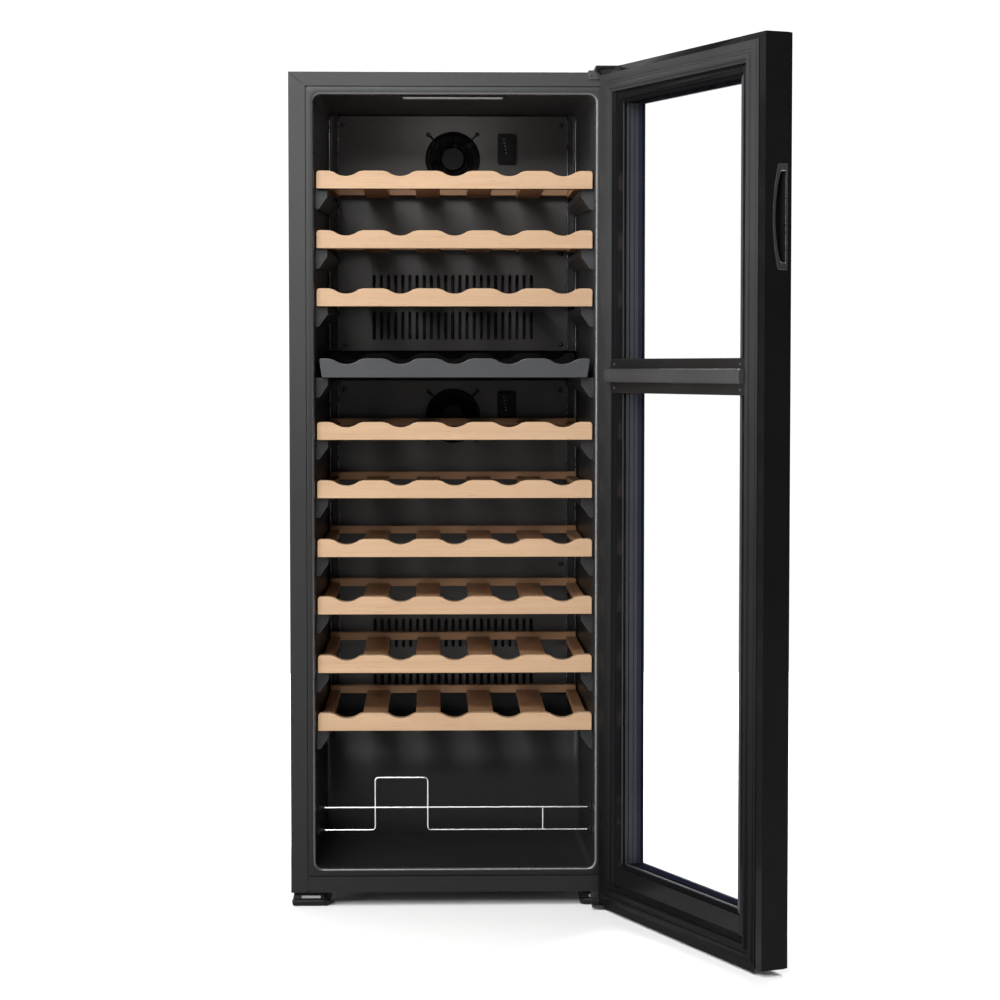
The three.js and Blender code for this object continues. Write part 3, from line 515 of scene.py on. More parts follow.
def liner_shell():
    """Walls, flange and the step over the compressor bay as one skin."""
    half, low, high = OPENING
    roll, curve, wall = 0.0035, 0.0105, 0.002
    liner = Solid("liner_shell", CABINET)

    def ring(y, hx, z0, z1, radius):
        return [(x, y, z) for x, z in rounded(-hx, hx, z0, z1, radius, 5)]

    # inner skin from back to front, the rolled edge, the flange, then the outer skin to the back
    skin = [
        (ring(0.455, 0.1925, STEP_TOP + 0.012, CAVITY_TOP - 0.012, 0.004), "liner"),
        (ring(CAVITY_BACK, 0.197, STEP_TOP + 0.007, CAVITY_TOP - 0.007, 0.006), "liner"),
        (ring(0.451, 0.2015, STEP_TOP + 0.0025, CAVITY_TOP - 0.0025, 0.009), "liner"),
        (ring(0.443, 0.2042, STEP_TOP, CAVITY_TOP, 0.011), "liner"),
        (ring(0.3165, 0.2058, STEP_TOP, CAVITY_TOP, 0.0115), "liner"),
        (ring(0.3150, 0.2058, STEP_TOP - 0.0015, CAVITY_TOP, 0.0115), "liner"),
        (ring(0.3145, 0.2058, CAVITY_FLOOR, CAVITY_TOP, 0.0115), "liner"),
        (ring(0.018, 0.2095, CAVITY_FLOOR, CAVITY_TOP, 0.012), "liner"),
        (ring(0.013, 0.2099, CAVITY_FLOOR, CAVITY_TOP - 0.001, 0.012), "liner"),
        (ring(0.0085, 0.2108, CAVITY_FLOOR, high + 0.0015, 0.011), "liner"),
        (ring(0.006, half, low, high, curve), "roll"),
    ]
    for i in range(6):
        turn = math.radians(18 * i)
        off = roll * (1 - math.cos(turn))
        y = roll * (1 - math.sin(turn)) + 0.0003
        skin.append((ring(y, half + off, low - off, high + off, curve + off), "roll" if i < 5 else "rim"))
    skin += [
        (ring(0.0003, 0.2219, 0.0480, 1.2354, 0.003), "rim"),
        (ring(0.0006, 0.2226, 0.0473, 1.2361, 0.0035), "rim"),
        (ring(0.0013, 0.2230, 0.0469, 1.2365, 0.0038), "rim"),
        (ring(0.0025, 0.2232, 0.0467, 1.2367, 0.004), "liner"),
        (ring(0.0025, 0.2125, 0.0567, 1.2345, 0.012), "liner"),
        (ring(0.3165, 0.2080, CAVITY_FLOOR - wall, CAVITY_TOP + wall, 0.012), "liner"),
        (ring(0.3175, 0.2080, STEP_TOP - wall, CAVITY_TOP + wall, 0.012), "liner"),
        (ring(0.444, 0.2062, STEP_TOP - wall, CAVITY_TOP + wall, 0.012), "liner"),
        (ring(0.4569, 0.195, STEP_TOP + 0.01, CAVITY_TOP - 0.01, 0.004), "liner"),
    ]
    liner.rings([r for r, _ in skin], "liner")
    size = len(skin[0][0])
    for run, (_, material) in enumerate(skin[:-1]):
        liner.paint(run * size, size, material)
    return liner.finish("cabinet", ("inner_liner",), 0.0, 2, 50)


def coves_and_rails():
    """Coves and plate at the back of the cavity, and ten pairs of moulded shelf rails. Bright metal beads
    down the cove edges are painted highlights, and the black plate is a dark sheet standing in for shade over
    the lowest vents.
    """
    moulding = Solid("liner_rails", CABINET)
    # a black plate in front of the lowest vents: a dark sheet standing in for shade behind the bottom shelf
    moulding.box((-0.1990, 0.1990), (0.384, 0.3985), (STEP_TOP - 0.0005, 0.2900), "black")
    below_divider, above_divider = (0.2440, 0.7960), (0.8440, CAVITY_TOP)
    inner, outer = 0.1890, 0.2065
    front, back = 0.3950, 0.4535
    for low, high in (below_divider, above_divider):
        for side in (-1, 1):
            cove = [(inner, back), (inner, 0.4040)] + arc(0.1975, 0.3965, 0.0075, 90, 0, 6)[:-1]
            cove += [(0.2052, front), (outer, front), (outer, back)]
            moulding.prism([(side * x, y) for x, y in cove], "z", low, high, "liner")
            # bright metal beads down the cove edges: painted highlights for the light that the rounded
            # plastic edges catch
            for x, y in ((inner + 0.0003, 0.4032), (0.2030, 0.4003)):
                bead = [(side * x, y, low + 0.001), (side * x, y, high - 0.008)]
                moulding.tube(bead, 0.0011, "trim", 12)
    tip, wall, deep = 0.1915, 0.2105, 0.030
    for side in (-1, 1):
        for z in RIB_BOTTOM_Z:
            top = z - 0.0003
            profile = [(wall, top), (tip, top), (tip, top - 0.0115), (0.2045, top - deep), (wall, top - deep)]
            near = [(side * x, 0.025, h) for x, h in profile]
            far = [(side * (x - 0.0035), 0.380, top - (top - h) * 0.66) for x, h in profile]
            moulding.rings([near, far], "liner")
    return moulding.finish("cabinet", (), 0.0028, 4)


# ---- evaporator covers, fans and small fittings behind the shelves ----
COVER_Y = 0.400
FAN_BOX = {"upper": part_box("upper_fan_rotor"), "lower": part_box("lower_fan_rotor")}


def fan_height(zone):
    low, high = FAN_BOX[zone]
    return (low[2] + high[2]) / 2


def slot_outline(x, z0, z1, width):
    """An upright vent slot with round ends."""
    r = width / 2
    return arc(x, z0 + r, r, 180, 360, 6) + arc(x, z1 - r, r, 0, 180, 6)


def evaporator_cover(zone, vents):
    """A folded sheet with a hole for the fan and rows of 23 vent slots, vents being their heights."""
    sheet, slots, slot_pitch = 0.0016, 23, 0.0118
    low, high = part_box(f"{zone}_evaporator_cover")
    bottom, top = low[2], high[2]
    half = (high[0] - low[0]) / 2
    cover = Solid(f"{zone}_cover_panel", CABINET)
    holes = [circle(0, fan_height(zone), 0.044)[::-1]]
    for z0, z1 in vents:
        for i in range(slots):
            holes.append(slot_outline((i - slots // 2) * slot_pitch, z0, z1, 0.0054)[::-1])
    outline = rounded(-half, half, bottom, top, 0.004, 4)
    cover.plate(outline, holes, COVER_Y, COVER_Y + sheet, "cover")
    depths = (COVER_Y + 0.001, CAVITY_BACK)
    for x in (-half, half - sheet):
        cover.box((x, x + sheet), depths, (bottom + 0.003, top - 0.003), "cover")
    for z in (bottom, top - sheet):
        cover.box((-half + 0.003, half - 0.003), depths, (z, z + sheet), "cover")
    # screws near the upper corners and half way up the right side, and below on the upper cover
    places = [(-0.1795, top - 0.0150), (0.1785, top - 0.0150), (0.1790, (bottom + top) / 2 - 0.0330)]
    if zone == "upper":
        places += [(-0.1775, bottom + 0.0100), (0.1785, bottom + 0.0100)]
    for x, z in places:
        screw(cover, (x, COVER_Y - 0.0001, z), "y", 0.0040, "dark_steel")
    return cover.finish("cabinet", (f"{zone}_evaporator_cover",), 0.0, 2, 30)


def fan_guard(zone):
    """Four wire rings and a hub, on four arms that end in screwed posts."""
    z = fan_height(zone)
    guard = Solid(f"{zone}_guard_rings", CABINET)
    front = COVER_Y - 0.0043
    for radius in (0.0438, 0.0372, 0.0306, 0.0240):
        loop = [(x, front, h) for x, h in circle(0, z, radius, 48)]
        guard.tube(loop, 0.0011, "black", 8, closed=True)
    hub = [(AXIS, -0.0005), (0.0178, -0.0005), (0.0188, 0.0004), (0.0188, 0.0024), (AXIS, 0.0024)]
    guard.lathe(hub, (0, front, z), "y", "black", 40)
    for sx in (-1, 1):
        for sz in (-1, 1):
            eye = Vector((sx * 0.0403, front + 0.0022, z + sz * 0.0403))
            start = Vector((sx * 0.012, front + 0.0012, z + sz * 0.012))
            guard.tube([start, start.lerp(eye, 0.5), eye], 0.0013, "black", 8)
            post = [(eye.x, y, eye.z) for y in (front + 0.0008, COVER_Y - 0.0002)]
            guard.tube(post, 0.0036, "black", 20)
            screw(guard, (eye.x, front + 0.0006, eye.z), "y", 0.0028, "dark_steel")
    return guard.finish("cabinet", (f"{zone}_fan_guard",))


def rotor(name, body, node, axis, blades):
    """A hub with curved, twisted blades, drawn about the CAD rotor's centre."""
    low, high = (Vector(c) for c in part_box(node))
    centre = (low + high) / 2
    along = {"x": 0, "y": 1}[axis]
    depth = high[along] - low[along]
    reach = (high[2] - low[2]) / 2 * 0.985
    hub = reach * 0.4
    place = Matrix.Translation(centre)
    if axis == "x":
        place = place @ Matrix.Rotation(math.radians(-90), 4, "Z")
    fan = Solid(name, place)
    nose, tail = -depth * 0.48, depth * 0.45
    cup = [(AXIS, nose), (hub * 0.86, nose), (hub, -depth * 0.3), (hub, tail), (AXIS, tail)]
    fan.lathe(cup, (0, 0, 0), "y", "black", 32)
    for b in range(blades):
        base = 2 * math.pi * b / blades
        rings = []
        for step in range(7):
            share = step / 6
            radius = hub * 0.95 + (reach - hub * 0.95) * share
            lean = base + 0.30 * share
            chord = 0.55 + 0.10 * share
            edge = []
            for k in range(7):
                t = k / 6 - 0.5
                a = lean + t * chord
                y = t * depth * (0.82 - 0.25 * share) * 1.05 + 0.0006 * math.cos(math.pi * t)
                edge.append((radius * math.cos(a), y, radius * math.sin(a)))
            under = [(x, y + 0.0008, z) for x, y, z in edge[::-1]]
            rings.append(edge + under)
        fan.rings(rings, "black")
    return fan.finish(body, (node,), 0.0, 2, 40)


def fan_shroud(zone):
    """The ring round the fan, with its motor held on six spokes at the back."""
    z = fan_height(zone)
    low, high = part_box(f"{zone}_fan_motor")
    front, back = low[1] - FACE_Y, high[1] - FACE_Y
    shroud = Solid(f"{zone}_fan_shroud", CABINET)
    wall = [(0.0445, front), (0.0474, front), (0.0474, back - 0.0005), (0.0445, back - 0.0005)]
    shroud.lathe(wall, (0, 0, z), "y", "black", 48)
    motor = [(AXIS, back - 0.005), (0.0125, back - 0.005), (0.0130, back - 0.0045), (0.0130, back),
             (AXIS, back)]
    shroud.lathe(motor, (0, 0, z), "y", "black", 32)
    for degrees in range(30, 360, 60):
        a = math.radians(degrees)
        spoke = [(r * math.cos(a), back - 0.0024, z + r * math.sin(a)) for r in (0.010, 0.0455)]
        shroud.tube(spoke, 0.0016, "black", 8)
    return shroud.finish("cabinet", (f"{zone}_fan_motor",))


def sensor_housing(zone):
    """A small case with a raised face and a slanting row of five bright beads."""
    low, high = (Vector(c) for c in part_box(f"{zone}_sensor_housing"))
    x0, x1 = low.x - MID_X, high.x - MID_X
    front, back = low.y - FACE_Y, high.y - FACE_Y
    housing = Solid(f"{zone}_sensor_case", CABINET)
    housing.prism(rounded(x0, x1, low.z, high.z, 0.003, 4), "y", front + 0.0030, back, "black")
    raised = rounded(x0 + 0.0025, x1 - 0.0025, low.z + 0.003, high.z - 0.003, 0.0025, 4)
    housing.prism(raised, "y", front, front + 0.0035, "black")
    bead = [(AXIS, -0.0006), (0.0011, -0.0004), (0.0012, 0.0004), (AXIS, 0.0004)]
    for i in range(5):
        share = i / 4
        x = x0 + 0.0100 + share * 0.0037
        z = high.z - 0.0100 - share * 0.0215
        housing.lathe(bead, (x, front, z), "y", "lens", 12)
    return housing.finish("cabinet", (f"{zone}_sensor_housing",), 0.0007, 2)


# ---- shelves ----
NOTCHES = 5
PITCH = 0.0817


def notched(half, bottom, height, width, depth, corner=0.0045):
    """A board outline with five rounded notches in its top edge and rounded top corners."""
    top = bottom + height
    ease, foot = 0.004, 0.0012
    radius = ((width / 2 - ease) ** 2 + depth ** 2) / (2 * depth)
    spread = math.degrees(math.asin((width / 2 - ease) / radius))
    points = arc(-half + foot, bottom + foot, foot, 180, 270, 2)
    points += arc(half - foot, bottom + foot, foot, 270, 360, 2)
    points += arc(half - corner, top - corner, corner, 0, 90, 5)
    for i in range(NOTCHES - 1, -1, -1):
        x = (i - (NOTCHES - 1) / 2) * PITCH
        dip = arc(x, top - depth + radius, radius, 270 + spread, 270 - spread, 14)
        points += [(x + width / 2 + 0.002, top), (x + width / 2 - 0.001, top - 0.0005)] + dip[1:-1]
        points += [(x - width / 2 + 0.001, top - 0.0005), (x - width / 2 - 0.002, top)]
    points += arc(-half + corner, top - corner, corner, 90, 180, 5)
    return points


def bottle_shelf(number):
    """A notched front board, four planks and two side planks that run back, and a back rail."""
    node = f"bottle_shelf_{number}"
    low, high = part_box(node)
    bottom, height = low[2], high[2] - low[2]
    half = (high[0] - low[0]) / 2
    front, back = low[1] - FACE_Y, high[1] - FACE_Y
    board, plank_half, plank_top = 0.018, 0.0190, bottom + 0.0182
    shelf = Solid(f"slatted_shelf_{number}", CABINET)
    shelf.prism(notched(half, bottom, height, 0.049, 0.008), "y", front, front + board, "beech_x")
    start, stop = front + board, back - 0.016
    for i in range(NOTCHES - 1):
        x = (i - (NOTCHES - 2) / 2) * PITCH
        shelf.box((x - plank_half, x + plank_half), (start, stop), (bottom + 0.0090, plank_top), "beech_y")
    for side in (-1, 1):
        xs = sorted((side * 0.1862, side * 0.2030))
        shelf.box(xs, (start, stop), (bottom + 0.0088, plank_top), "beech_y")
    # the back rail uses the darker beech copy, painted shade
    shelf.box((-0.2025, 0.2025), (stop, back), (bottom + 0.0132, bottom + height - 0.0012), "beech_back")
    return shelf.finish(f"shelf_{number}", (node,), 0.0011, 3)


def zone_divider():
    """The notched grey front, and a black pan behind it that closes one zone off from the other."""
    low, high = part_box("zone_divider")
    bottom = low[2]
    half = (high[0] - low[0]) / 2
    tray = Solid("divider_tray", CABINET)
    tall, taper = 0.0288, 0.0045
    face = notched(half, bottom, tall, 0.052, 0.0085, 0.004)
    face = [(x * (1 - taper / half * (bottom + tall - z) / tall), z) for x, z in face]
    tray.prism(face, "y", 0.010, 0.026, "grey")
    tray.finish("cabinet", ("zone_divider",), 0.0030, 5)
    pan = Solid("divider_pan", CABINET)
    reach, start = 0.2013, 0.0255
    pan.box((-reach, reach), (start, 0.3975), (bottom + 0.002, bottom + 0.006), "black")
    pan.prism(notched(reach, bottom + 0.003, 0.036, 0.052, 0.011, 0.004), "y", 0.384, 0.396, "black")
    for side in (-1, 1):
        xs = sorted((side * 0.198, side * reach))
        pan.box(xs, (start, 0.3955), (bottom, bottom + 0.022), "black")
    return pan.finish("cabinet", (), 0.0016, 4)


# ---- wire rack ----
def bent(points, radius, steps=5):
    """A path with its corners rounded."""
    path = [Vector(points[0])]
    for before, corner, after in zip(points, points[1:], points[2:]):
        corner = Vector(corner)
        start = corner + (Vector(before) - corner).normalized() * radius
        end = corner + (Vector(after) - corner).normalized() * radius
        for i in range(steps + 1):
            t = i / steps
            path.append(start.lerp(corner, t).lerp(corner.lerp(end, t), t))
    path.append(Vector(points[-1]))
    return path


def wire_rack():
    """Two wires across, the lower one with a hump, a short upright tie, and clips on the walls."""
    low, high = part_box("wire_rack")
    x0, x1 = low[0] - MID_X, high[0] - MID_X
    y = (low[1] + high[1]) / 2 - FACE_Y
    radius = 0.0015
    top, rail, base = high[2] - radius, 0.145, low[2] + radius
    left, right, tie = -0.1219, -0.0416, 0.1345
    rack = Solid("rack_wires", CABINET)
    rack.tube([(x, y - 0.0001, rail) for x in (x0, 0, x1)], radius, "chrome", 16)
    hump = [(x0, y, base), (left, y, base), (left, y, top), (right, y, top), (right, y, base), (x1, y, base)]
    rack.tube(bent(hump, 0.006), radius, "chrome", 16)
    rack.tube([(tie, y, base), (tie, y, rail)], radius * 0.9, "chrome", 16)
    rack.finish("cabinet", ("wire_rack",), 0.0, 2, 60)
    clips = Solid("rack_clips", CABINET)
    for side, end in ((-1, x0), (1, x1)):
        wall = side * 0.2088
        for z in (base, rail):
            tab = rounded(y - 0.006, y + 0.006, z - 0.0075, z + 0.0075, 0.004, 4)
            clips.prism(tab, "x", *sorted((wall, side * 0.2063)), "black")
            clips.tube([(end - side * 0.001, y, z), (wall, y, z)], 0.0036, "black", 20)
    return clips.finish("cabinet", (), 0.0005, 2)


def ceiling_light():
    """A lens with a curved underside on a thin black base."""
    low, high = (Vector(c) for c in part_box("ceiling_light"))
    x0, x1 = low.x - MID_X, high.x - MID_X
    y0, y1 = low.y - FACE_Y, high.y - FACE_Y
    lamp = Solid("ceiling_lamp", CABINET)
    lamp.box((x0, x1), (y0, y1), (high.z - 0.0025, high.z), "black")
    middle = (y0 + y1) / 2
    curve = [(middle + a, high.z - 0.0022 + 0.35 * b) for a, b in arc(0, 0, 0.007, 180, 360, 10)]
    lamp.prism(curve, "x", x0 + 0.003, x1 - 0.003, "lens")
    return lamp.finish("cabinet", ("ceiling_light",), 0.0006, 2)


# ---- door: insets from its edges, and each shift as (rise, drop) ----
GASKET = (0.013, 0.040)
GASKET_SHIFT = (0.0035, 0.007)
WINDOW_INSET = 0.0733
WINDOW_SHIFT = (0.018, 0.004)
HINGE_WINDOW = 0.0680


def door_ring(solid, profile, material, rise, drop, hinge_side=1.0, free_side=0.0):
    """A profile of (inset, n) swept round the door, mitred at its corners. It lies nearer to the door's
    top by rise and to its bottom by drop than to its sides. hinge_side limits its inset there, and
    free_side moves it inwards there. The runs come in the order bottom, free side, top, hinge side."""
    corners = []
    for left, upper in ((True, False), (False, False), (False, True), (True, True)):
        ring = []
        for inset, n in profile:
            s = min(inset, hinge_side) if left else DOOR_WIDTH - inset - free_side
            z = DOOR_HIGH - inset + rise if upper else DOOR_LOW + inset - drop
            ring.append((s, n, z))
        corners.append(ring)
    solid.rings(corners, material, closed=True)


def gasket():
    """A magnetic strip with a rolled lip inside it, on a flat border."""
    seal = Solid("door_seal", DOOR)
    outer, inner = GASKET
    face = 0.0057
    roll = arc(inner - 0.0075, 0.0050, 0.0046, 190, 345, 12)
    profile = [(outer, face), (outer, 0.0042), (outer + 0.0012, 0.0034), (outer + 0.0095, 0.0031),
               (outer + 0.0108, 0.0042), (outer + 0.0120, 0.0034)]
    profile += roll + [(inner - 0.0014, 0.0046), (inner, 0.0050), (inner, face)]
    door_ring(seal, profile, "rubber", *GASKET_SHIFT, free_side=0.0100)
    border = [(0.0012, face), (0.0012, 0.0050), (outer + 0.001, 0.0045), (outer + 0.001, face)]
    door_ring(seal, border, "rubber", -0.0070, GASKET_SHIFT[1], free_side=0.0163)
    return seal.finish("door", ("door_gasket",), 0.0, 2, 50)


def spacer():
    """Grey spacer bars between dark and navy sealant lines, seen through the inner pane. The bottom run's
    navy is a darker copy, painted shade.
    """
    ring = Solid("pane_spacer", DOOR)
    back, front = 0.0675, WINDOW_INSET
    # from n, to n, then the material at the bottom, the two sides and the top; the bottom run's navy is
    # painted darker, painted shade
    strips = ((0.0102, 0.0119, "matte", "spacer", "matte"), (0.0164, 0.0203, "spacer", "spacer", "matte"),
              (0.0203, 0.0218, "matte", "matte", "matte"), (0.0218, 0.0282, "matte", "spacer", "matte"),
              (0.0282, 0.0300, "navy_painted_shade", "navy", "matte"), (0.0300, 0.0350, "navy_painted_shade", "spacer", "matte"),
              (0.0350, 0.0419, "navy_painted_shade", "navy", "navy_painted_shade"))
    for n0, n1, bottom, side, top in strips:
        start = len(ring.slots)
        profile = [(back, n0), (front, n0), (front, n1), (back, n1)]
        door_ring(ring, profile, side, *WINDOW_SHIFT, HINGE_WINDOW)
        for run, material in ((0, bottom), (2, top)):
            ring.paint(start + run * len(profile), len(profile), material)
    return ring.finish("door", ("glass_spacer",))


def outer_pane():
    """The outer pane: a black printed border and a clear middle, one flat face."""
    n0, n1 = 0.0423, 0.0465
    rise, drop = WINDOW_SHIFT
    bottom, top = DOOR_LOW + WINDOW_INSET - drop, DOOR_HIGH - WINDOW_INSET + rise
    side, free = HINGE_WINDOW, DOOR_WIDTH - WINDOW_INSET
    border = Solid("pane_border", DOOR)
    inner = rounded(side, free, bottom, top, 0.002, 3)
    outer = rounded(0.0004, DOOR_WIDTH - 0.0004, DOOR_LOW, DOOR_HIGH, 0.0015, 3)
    border.plate(outer, [inner[::-1]], n0, n1, "gloss")
    border.finish("door", ("outer_glass",), 0.0004, 2)
    clear = Solid("pane_clear", DOOR)
    clear.plate(rounded(side + 0.0002, free - 0.0002, bottom + 0.0002, top - 0.0002, 0.002, 3), [],
                n0 + 0.0002, n1 - 0.0002, "glass")
    return clear.finish("door")


def mullion():
    """The bar across the window: a black channel with four screws and a crowned grey seal on it."""
    low, high = (Vector(c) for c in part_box("door_mullion"))
    bar_low, bar_high = (Vector(c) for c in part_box("mullion_bar"))
    s0, s1 = 0.0442, DOOR_WIDTH - 0.0442
    channel = Solid("mullion_channel", DOOR)
    profile = [(0.0095, low.z), (0.0045, low.z), (0.0018, low.z + 0.0045), (0.0018, low.z + 0.0120),
               (0.0007, low.z + 0.0150), (0.0007, high.z - 0.0110), (0.0018, high.z - 0.0090),
               (0.0018, high.z - 0.0045), (0.0045, high.z), (0.0095, high.z)]
    channel.prism(profile, "x", s0, s1, "black")
    for s in (s0 + 0.013, s1 - 0.013):
        for z in (low.z + 0.0075, high.z - 0.0085):
            screw(channel, (s, 0.0016, z), "y", 0.0026, "dark_steel")
    channel.finish("door", ("door_mullion",), 0.0006, 3)
    bar = Solid("mullion_seal", DOOR)
    z_mid, z_half = (bar_low.z + bar_high.z) / 2, (bar_high.z - bar_low.z) / 2
    crown = [(-0.0060 - 0.0029 * b, z_mid + a * (z_half - 0.0004)) for a, b in arc(0, 0, 1, 0, 180, 12)]
    outline = [(0.0002, z_mid + z_half)] + crown + [(0.0002, z_mid - z_half)]
    bar.prism(outline, "x", s0, s1, "bar")
    return bar.finish("door", ("mullion_bar",), 0.0008, 3)


def grip():
    """The finger cup in the door's free edge: a tall bowed slot with a bright outline, a flat rim and a
    deep pocket."""
    low, high = (Vector(c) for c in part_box("door_grip_cup"))
    middle, tall = (low.z + high.z) / 2, (high.z - low.z) / 2
    straight, belly, end = 0.0402, 0.0178, 0.0258
    corner, steps = 0.0026, 36

    def outline(side, ends):
        """side and ends are how far the line lies inside the cup's outer edge."""
        edge = straight - side * 0.6
        reach = tall - ends
        points = [(edge, middle - reach)]
        for i in range(steps + 1):
            t = -math.cos(math.pi * i / steps)
            n = belly + side + (end - belly) * t * t
            left = max(corner - reach * (1 - abs(t)), 0.0)
            n += corner - math.sqrt(corner ** 2 - left ** 2)
            points.append((min(n, edge), middle + reach * t))
        return points + [(edge, middle + reach)]

    depth = 0.0205
    cup = Solid("grip_cup", DOOR)
    # each level: side, ends, how far it lies below the door's edge, and the material that follows it
    levels = ((0.0, 0.0, depth, "black"), (0.0, 0.0, 0.0003, "trim"), (0.0008, 0.0008, 0.0003, "rim"),
              (0.0040, 0.0088, 0.0006, "trim"), (0.0047, 0.0096, 0.0014, "black"),
              (0.0054, 0.0104, depth - 0.006, "black"), (0.0065, 0.0120, depth - 0.002, "black"))
    rings = [[(DOOR_WIDTH - down, n, z) for n, z in outline(side, ends)] for side, ends, down, _ in levels]
    cup.rings(rings, "black")
    size = len(rings[0])
    for run, (_, _, _, material) in enumerate(levels[:-1]):
        cup.paint(run * size, size, material)
    return cup.finish("door", ("door_grip_cup",), 0.0, 2, 40)


# ---- feet and hinge fittings ----
def front_foot(side, node):
    """A block with one round front corner, on the cabinet's inner side, a plate on it and a pale insert."""
    low, high = (Vector(c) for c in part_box(node))
    x0, x1 = low.x - MID_X, high.x - MID_X
    y0, y1 = low.y - FACE_Y, high.y - FACE_Y
    top = high.z
    inward = -side
    foot = Solid(f"{node}_block", CABINET)

    def layer(z, inset, front, curve):
        """An outline at a height, drawn in by inset at the sides and by front at the front."""
        xs = (x0 + inset, x1 - inset)
        a, b = (xs if inward > 0 else xs[::-1])
        square = [(a, y1), (a, y0 + front)]
        rounding = arc(b - inward * curve, y0 + front + curve, curve, 270, 360 if inward > 0 else 180, 6)
        return [(x, y, z) for x, y in square + rounding + [(b, y1)]]

    base = [layer(0.0, 0.0030, 0.0045, 0.010), layer(0.0012, 0.0012, 0.0020, 0.011),
            layer(0.0070, 0.0, 0.0, 0.012), layer(0.0092, 0.0008, 0.0012, 0.012),
            layer(0.0098, 0.0020, 0.0045, 0.012)]
    foot.rings(base, "black")
    plate = [layer(0.0094, 0.0030, 0.0050, 0.010), layer(0.0102, 0.0024, 0.0060, 0.010),
             layer(top - 0.0022, 0.0026, 0.0085, 0.010), layer(top, 0.0030, 0.0095, 0.010)]
    foot.rings(plate, "black")
    centre = (x0 + x1) / 2
    foot.box((centre - 0.0150, centre + 0.0140), (y0 + 0.0058, y0 + 0.0110), (0.0110, 0.0150), "tag")
    return foot.finish("cabinet", (node,), 0.0005, 2)


def hinge_screws():
    """The screw at the free end of the upper hinge bracket."""
    low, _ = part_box("upper_hinge_bracket")
    heads = Solid("hinge_screws", CABINET)
    screw(heads, (low[0] - MID_X + 0.0040, -0.0025, 1.2535), "y", 0.0019, "dark_steel")
    return heads.finish("cabinet")


def rear_fixings():
    """Screws round the rear panel and the grille."""
    heads = Solid("rear_screws", CABINET)
    _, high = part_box("rear_panel")
    back = high[1] - FACE_Y - 0.0019
    top = 1.24
    places = [(x, z) for x in (-0.235, 0.235) for z in (0.035, 0.195, 0.23, 0.48, 0.74, 1.0, top)]
    places += [(x, top) for x in (-0.15, 0.0, 0.15)]
    for x, z in places:
        screw(heads, (x, back, z), "y", 0.0042, "steel", 1)
    return heads.finish("cabinet")


# ---- CAD nodes that stay ----
def keep_casing():
    for node in ("left_side_panel", "right_side_panel", "top_panel", "bottom_front_rail"):
        keep(node, "paint", 0.0005)
    for node in ("rear_panel", "rear_grille", "base_pan"):
        keep(node, "paint", 0.0003)


def keep_door():
    for node in ("door_hinge_stile", "door_handle_stile", "door_top_rail", "door_bottom_rail"):
        keep(node, "gloss", 0.0012, 3)
    keep("inner_glass", "glass")
    keep("upper_hinge_bush", "grey")
    keep("lower_hinge_bush", "grey")


def keep_works():
    keep("foam_insulation", "foam")
    for zone in ("upper", "lower"):
        keep(f"{zone}_evaporator", "coil")
    for node in ("compressor", "condenser_fan_frame", "drip_tray"):
        keep(node, "black", 0.0006)
    for node in ("rear_left_foot", "rear_right_foot", "upper_hinge_cover"):
        keep(node, "black", 0.0006)
    keep("condenser", "steel")
    keep("compressor_bay_panel", "steel")
    keep("control_box", "circuit", 0.0006)
    keep("upper_hinge_bracket", "dark_steel", 0.0004)
    keep("lower_hinge_bracket", "dark_steel", 0.0004)


# ---- camera, light and floor ----
def look_from_photo_side():
    data = bpy.data.cameras.new("camera")
    data.lens = 93.82
    data.sensor_width = 36.0
    camera = bpy.data.objects.new("camera", data)
    bpy.context.scene.collection.objects.link(camera)
    camera.location = CABINET @ Vector((-0.0317, -3.9207, 0.8179))
    camera.rotation_euler = (math.radians(90 - 2.923), 0, math.radians(-1.454))
    bpy.context.scene.camera = camera


def soft_light(name, place, target, size, power, colour=(1, 1, 1)):
    """A rectangular light of a size in metres and a power in watts, aimed at its target."""
    data = bpy.data.lights.new(name, "AREA")
    data.shape = "RECTANGLE"
    data.size, data.size_y = size
    data.energy = power
    data.color = colour
    light = bpy.data.objects.new(name, data)
    light.location = place
    light.rotation_euler = (Vector(target) - Vector(place)).to_track_quat("-Z", "Y").to_euler()
    bpy.context.scene.collection.objects.link(light)


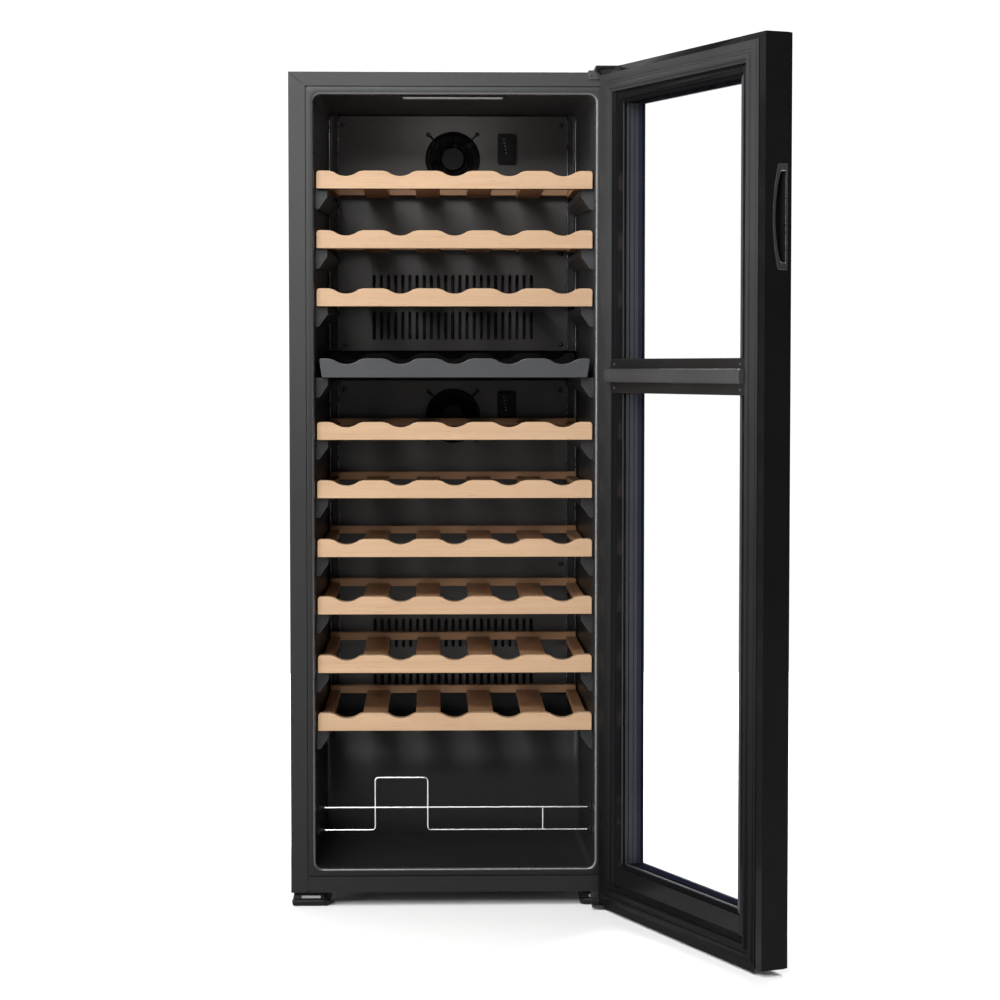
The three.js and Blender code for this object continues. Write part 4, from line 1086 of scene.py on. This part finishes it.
def studio():
    """A pale floor, a white surround that is brightest behind the cabinet, and six soft lights."""
    floor_material = Nodes("studio_floor")
    cloud = floor_material.noise(floor_material.coordinate, 0.8, 2.0)
    shade = floor_material.ramp(cloud, ((0.3, (0.86, 0.86, 0.86)), (0.7, (0.88, 0.88, 0.88))))
    floor_material.base_colour(shade)
    floor_material.surface(Roughness=0.9)
    size, back = 14.0, 3.0
    mesh = bpy.data.meshes.new("studio_floor")
    corners = [(-size, -size, 0), (size, -size, 0), (size, back, 0), (-size, back, 0)]
    mesh.from_pydata(corners, [], [(0, 1, 2, 3)])
    mesh.materials.append(floor_material.material)
    floor = bpy.data.objects.new("studio_floor", mesh)
    floor.location.z = -0.0005
    bpy.context.scene.collection.objects.link(floor)

    world = bpy.data.worlds.new("studio")
    world.use_nodes = True
    tree = world.node_tree
    background = tree.nodes["Background"]
    direction = tree.nodes.new("ShaderNodeTexCoord")
    parts = tree.nodes.new("ShaderNodeSeparateXYZ")
    tree.links.new(direction.outputs["Generated"], parts.inputs["Vector"])
    behind = tree.nodes.new("ShaderNodeMapRange")
    for key, value in (("From Min", 0.0), ("From Max", 0.8), ("To Min", 0.16), ("To Max", 1.10)):
        behind.inputs[key].default_value = value
    tree.links.new(parts.outputs["Y"], behind.inputs["Value"])
    tree.links.new(behind.outputs["Result"], background.inputs["Strength"])
    background.inputs["Color"].default_value = (1, 1, 1, 1)
    bpy.context.scene.world = world

    soft_light("key", (MID_X - 1.3, FACE_Y - 4.5, 2.5), (MID_X, FACE_Y, 0.75), (2.2, 1.3), 150)
    soft_light("strip_left", (MID_X - 1.9, FACE_Y - 1.5, 1.2), (MID_X + 0.2, FACE_Y + 0.15, 0.75),
               (0.4, 2.0), 40)
    soft_light("side_left", (MID_X - 3.2, FACE_Y - 0.5, 1.0), (MID_X + 0.2, FACE_Y, 0.8), (1.0, 2.2), 36)
    soft_light("cavity_lamp", (MID_X, FACE_Y + 0.094, 1.2235), (MID_X, FACE_Y + 0.30, 1.0),
               (0.15, 0.012), 0.12, (1.0, 0.95, 0.92))
    soft_light("high_front", (MID_X - 0.6, FACE_Y - 1.9, 2.5), (MID_X, FACE_Y, 1.1), (1.8, 0.5), 50)
    soft_light("rear", (MID_X + 0.5, FACE_Y + 2.6, 3.0), (MID_X, FACE_Y + 1.8, 0.0), (3.2, 1.8), 260)
    bpy.context.scene.view_settings.view_transform = "Standard"


# ---- making ----
look_from_photo_side()
keep_casing()
keep_door()
keep_works()
liner_shell()
coves_and_rails()
evaporator_cover("upper", ((0.925, 0.970), (0.863, 0.909)))
evaporator_cover("lower", ((0.352, 0.400), (0.263, 0.308)))
for zone_name in ("upper", "lower"):
    fan_guard(zone_name)
    fan_shroud(zone_name)
    sensor_housing(zone_name)
    rotor(f"{zone_name}_propeller", f"{zone_name}_fan", f"{zone_name}_fan_rotor", "y", 7)
rotor("condenser_propeller", "condenser_fan", "condenser_fan_rotor", "x", 5)
for shelf_number in range(1, 10):
    bottle_shelf(shelf_number)
zone_divider()
wire_rack()
ceiling_light()
gasket()
spacer()
outer_pane()
mullion()
grip()
front_foot(-1, "front_left_foot")
front_foot(1, "front_right_foot")
hinge_screws()
rear_fixings()
studio()
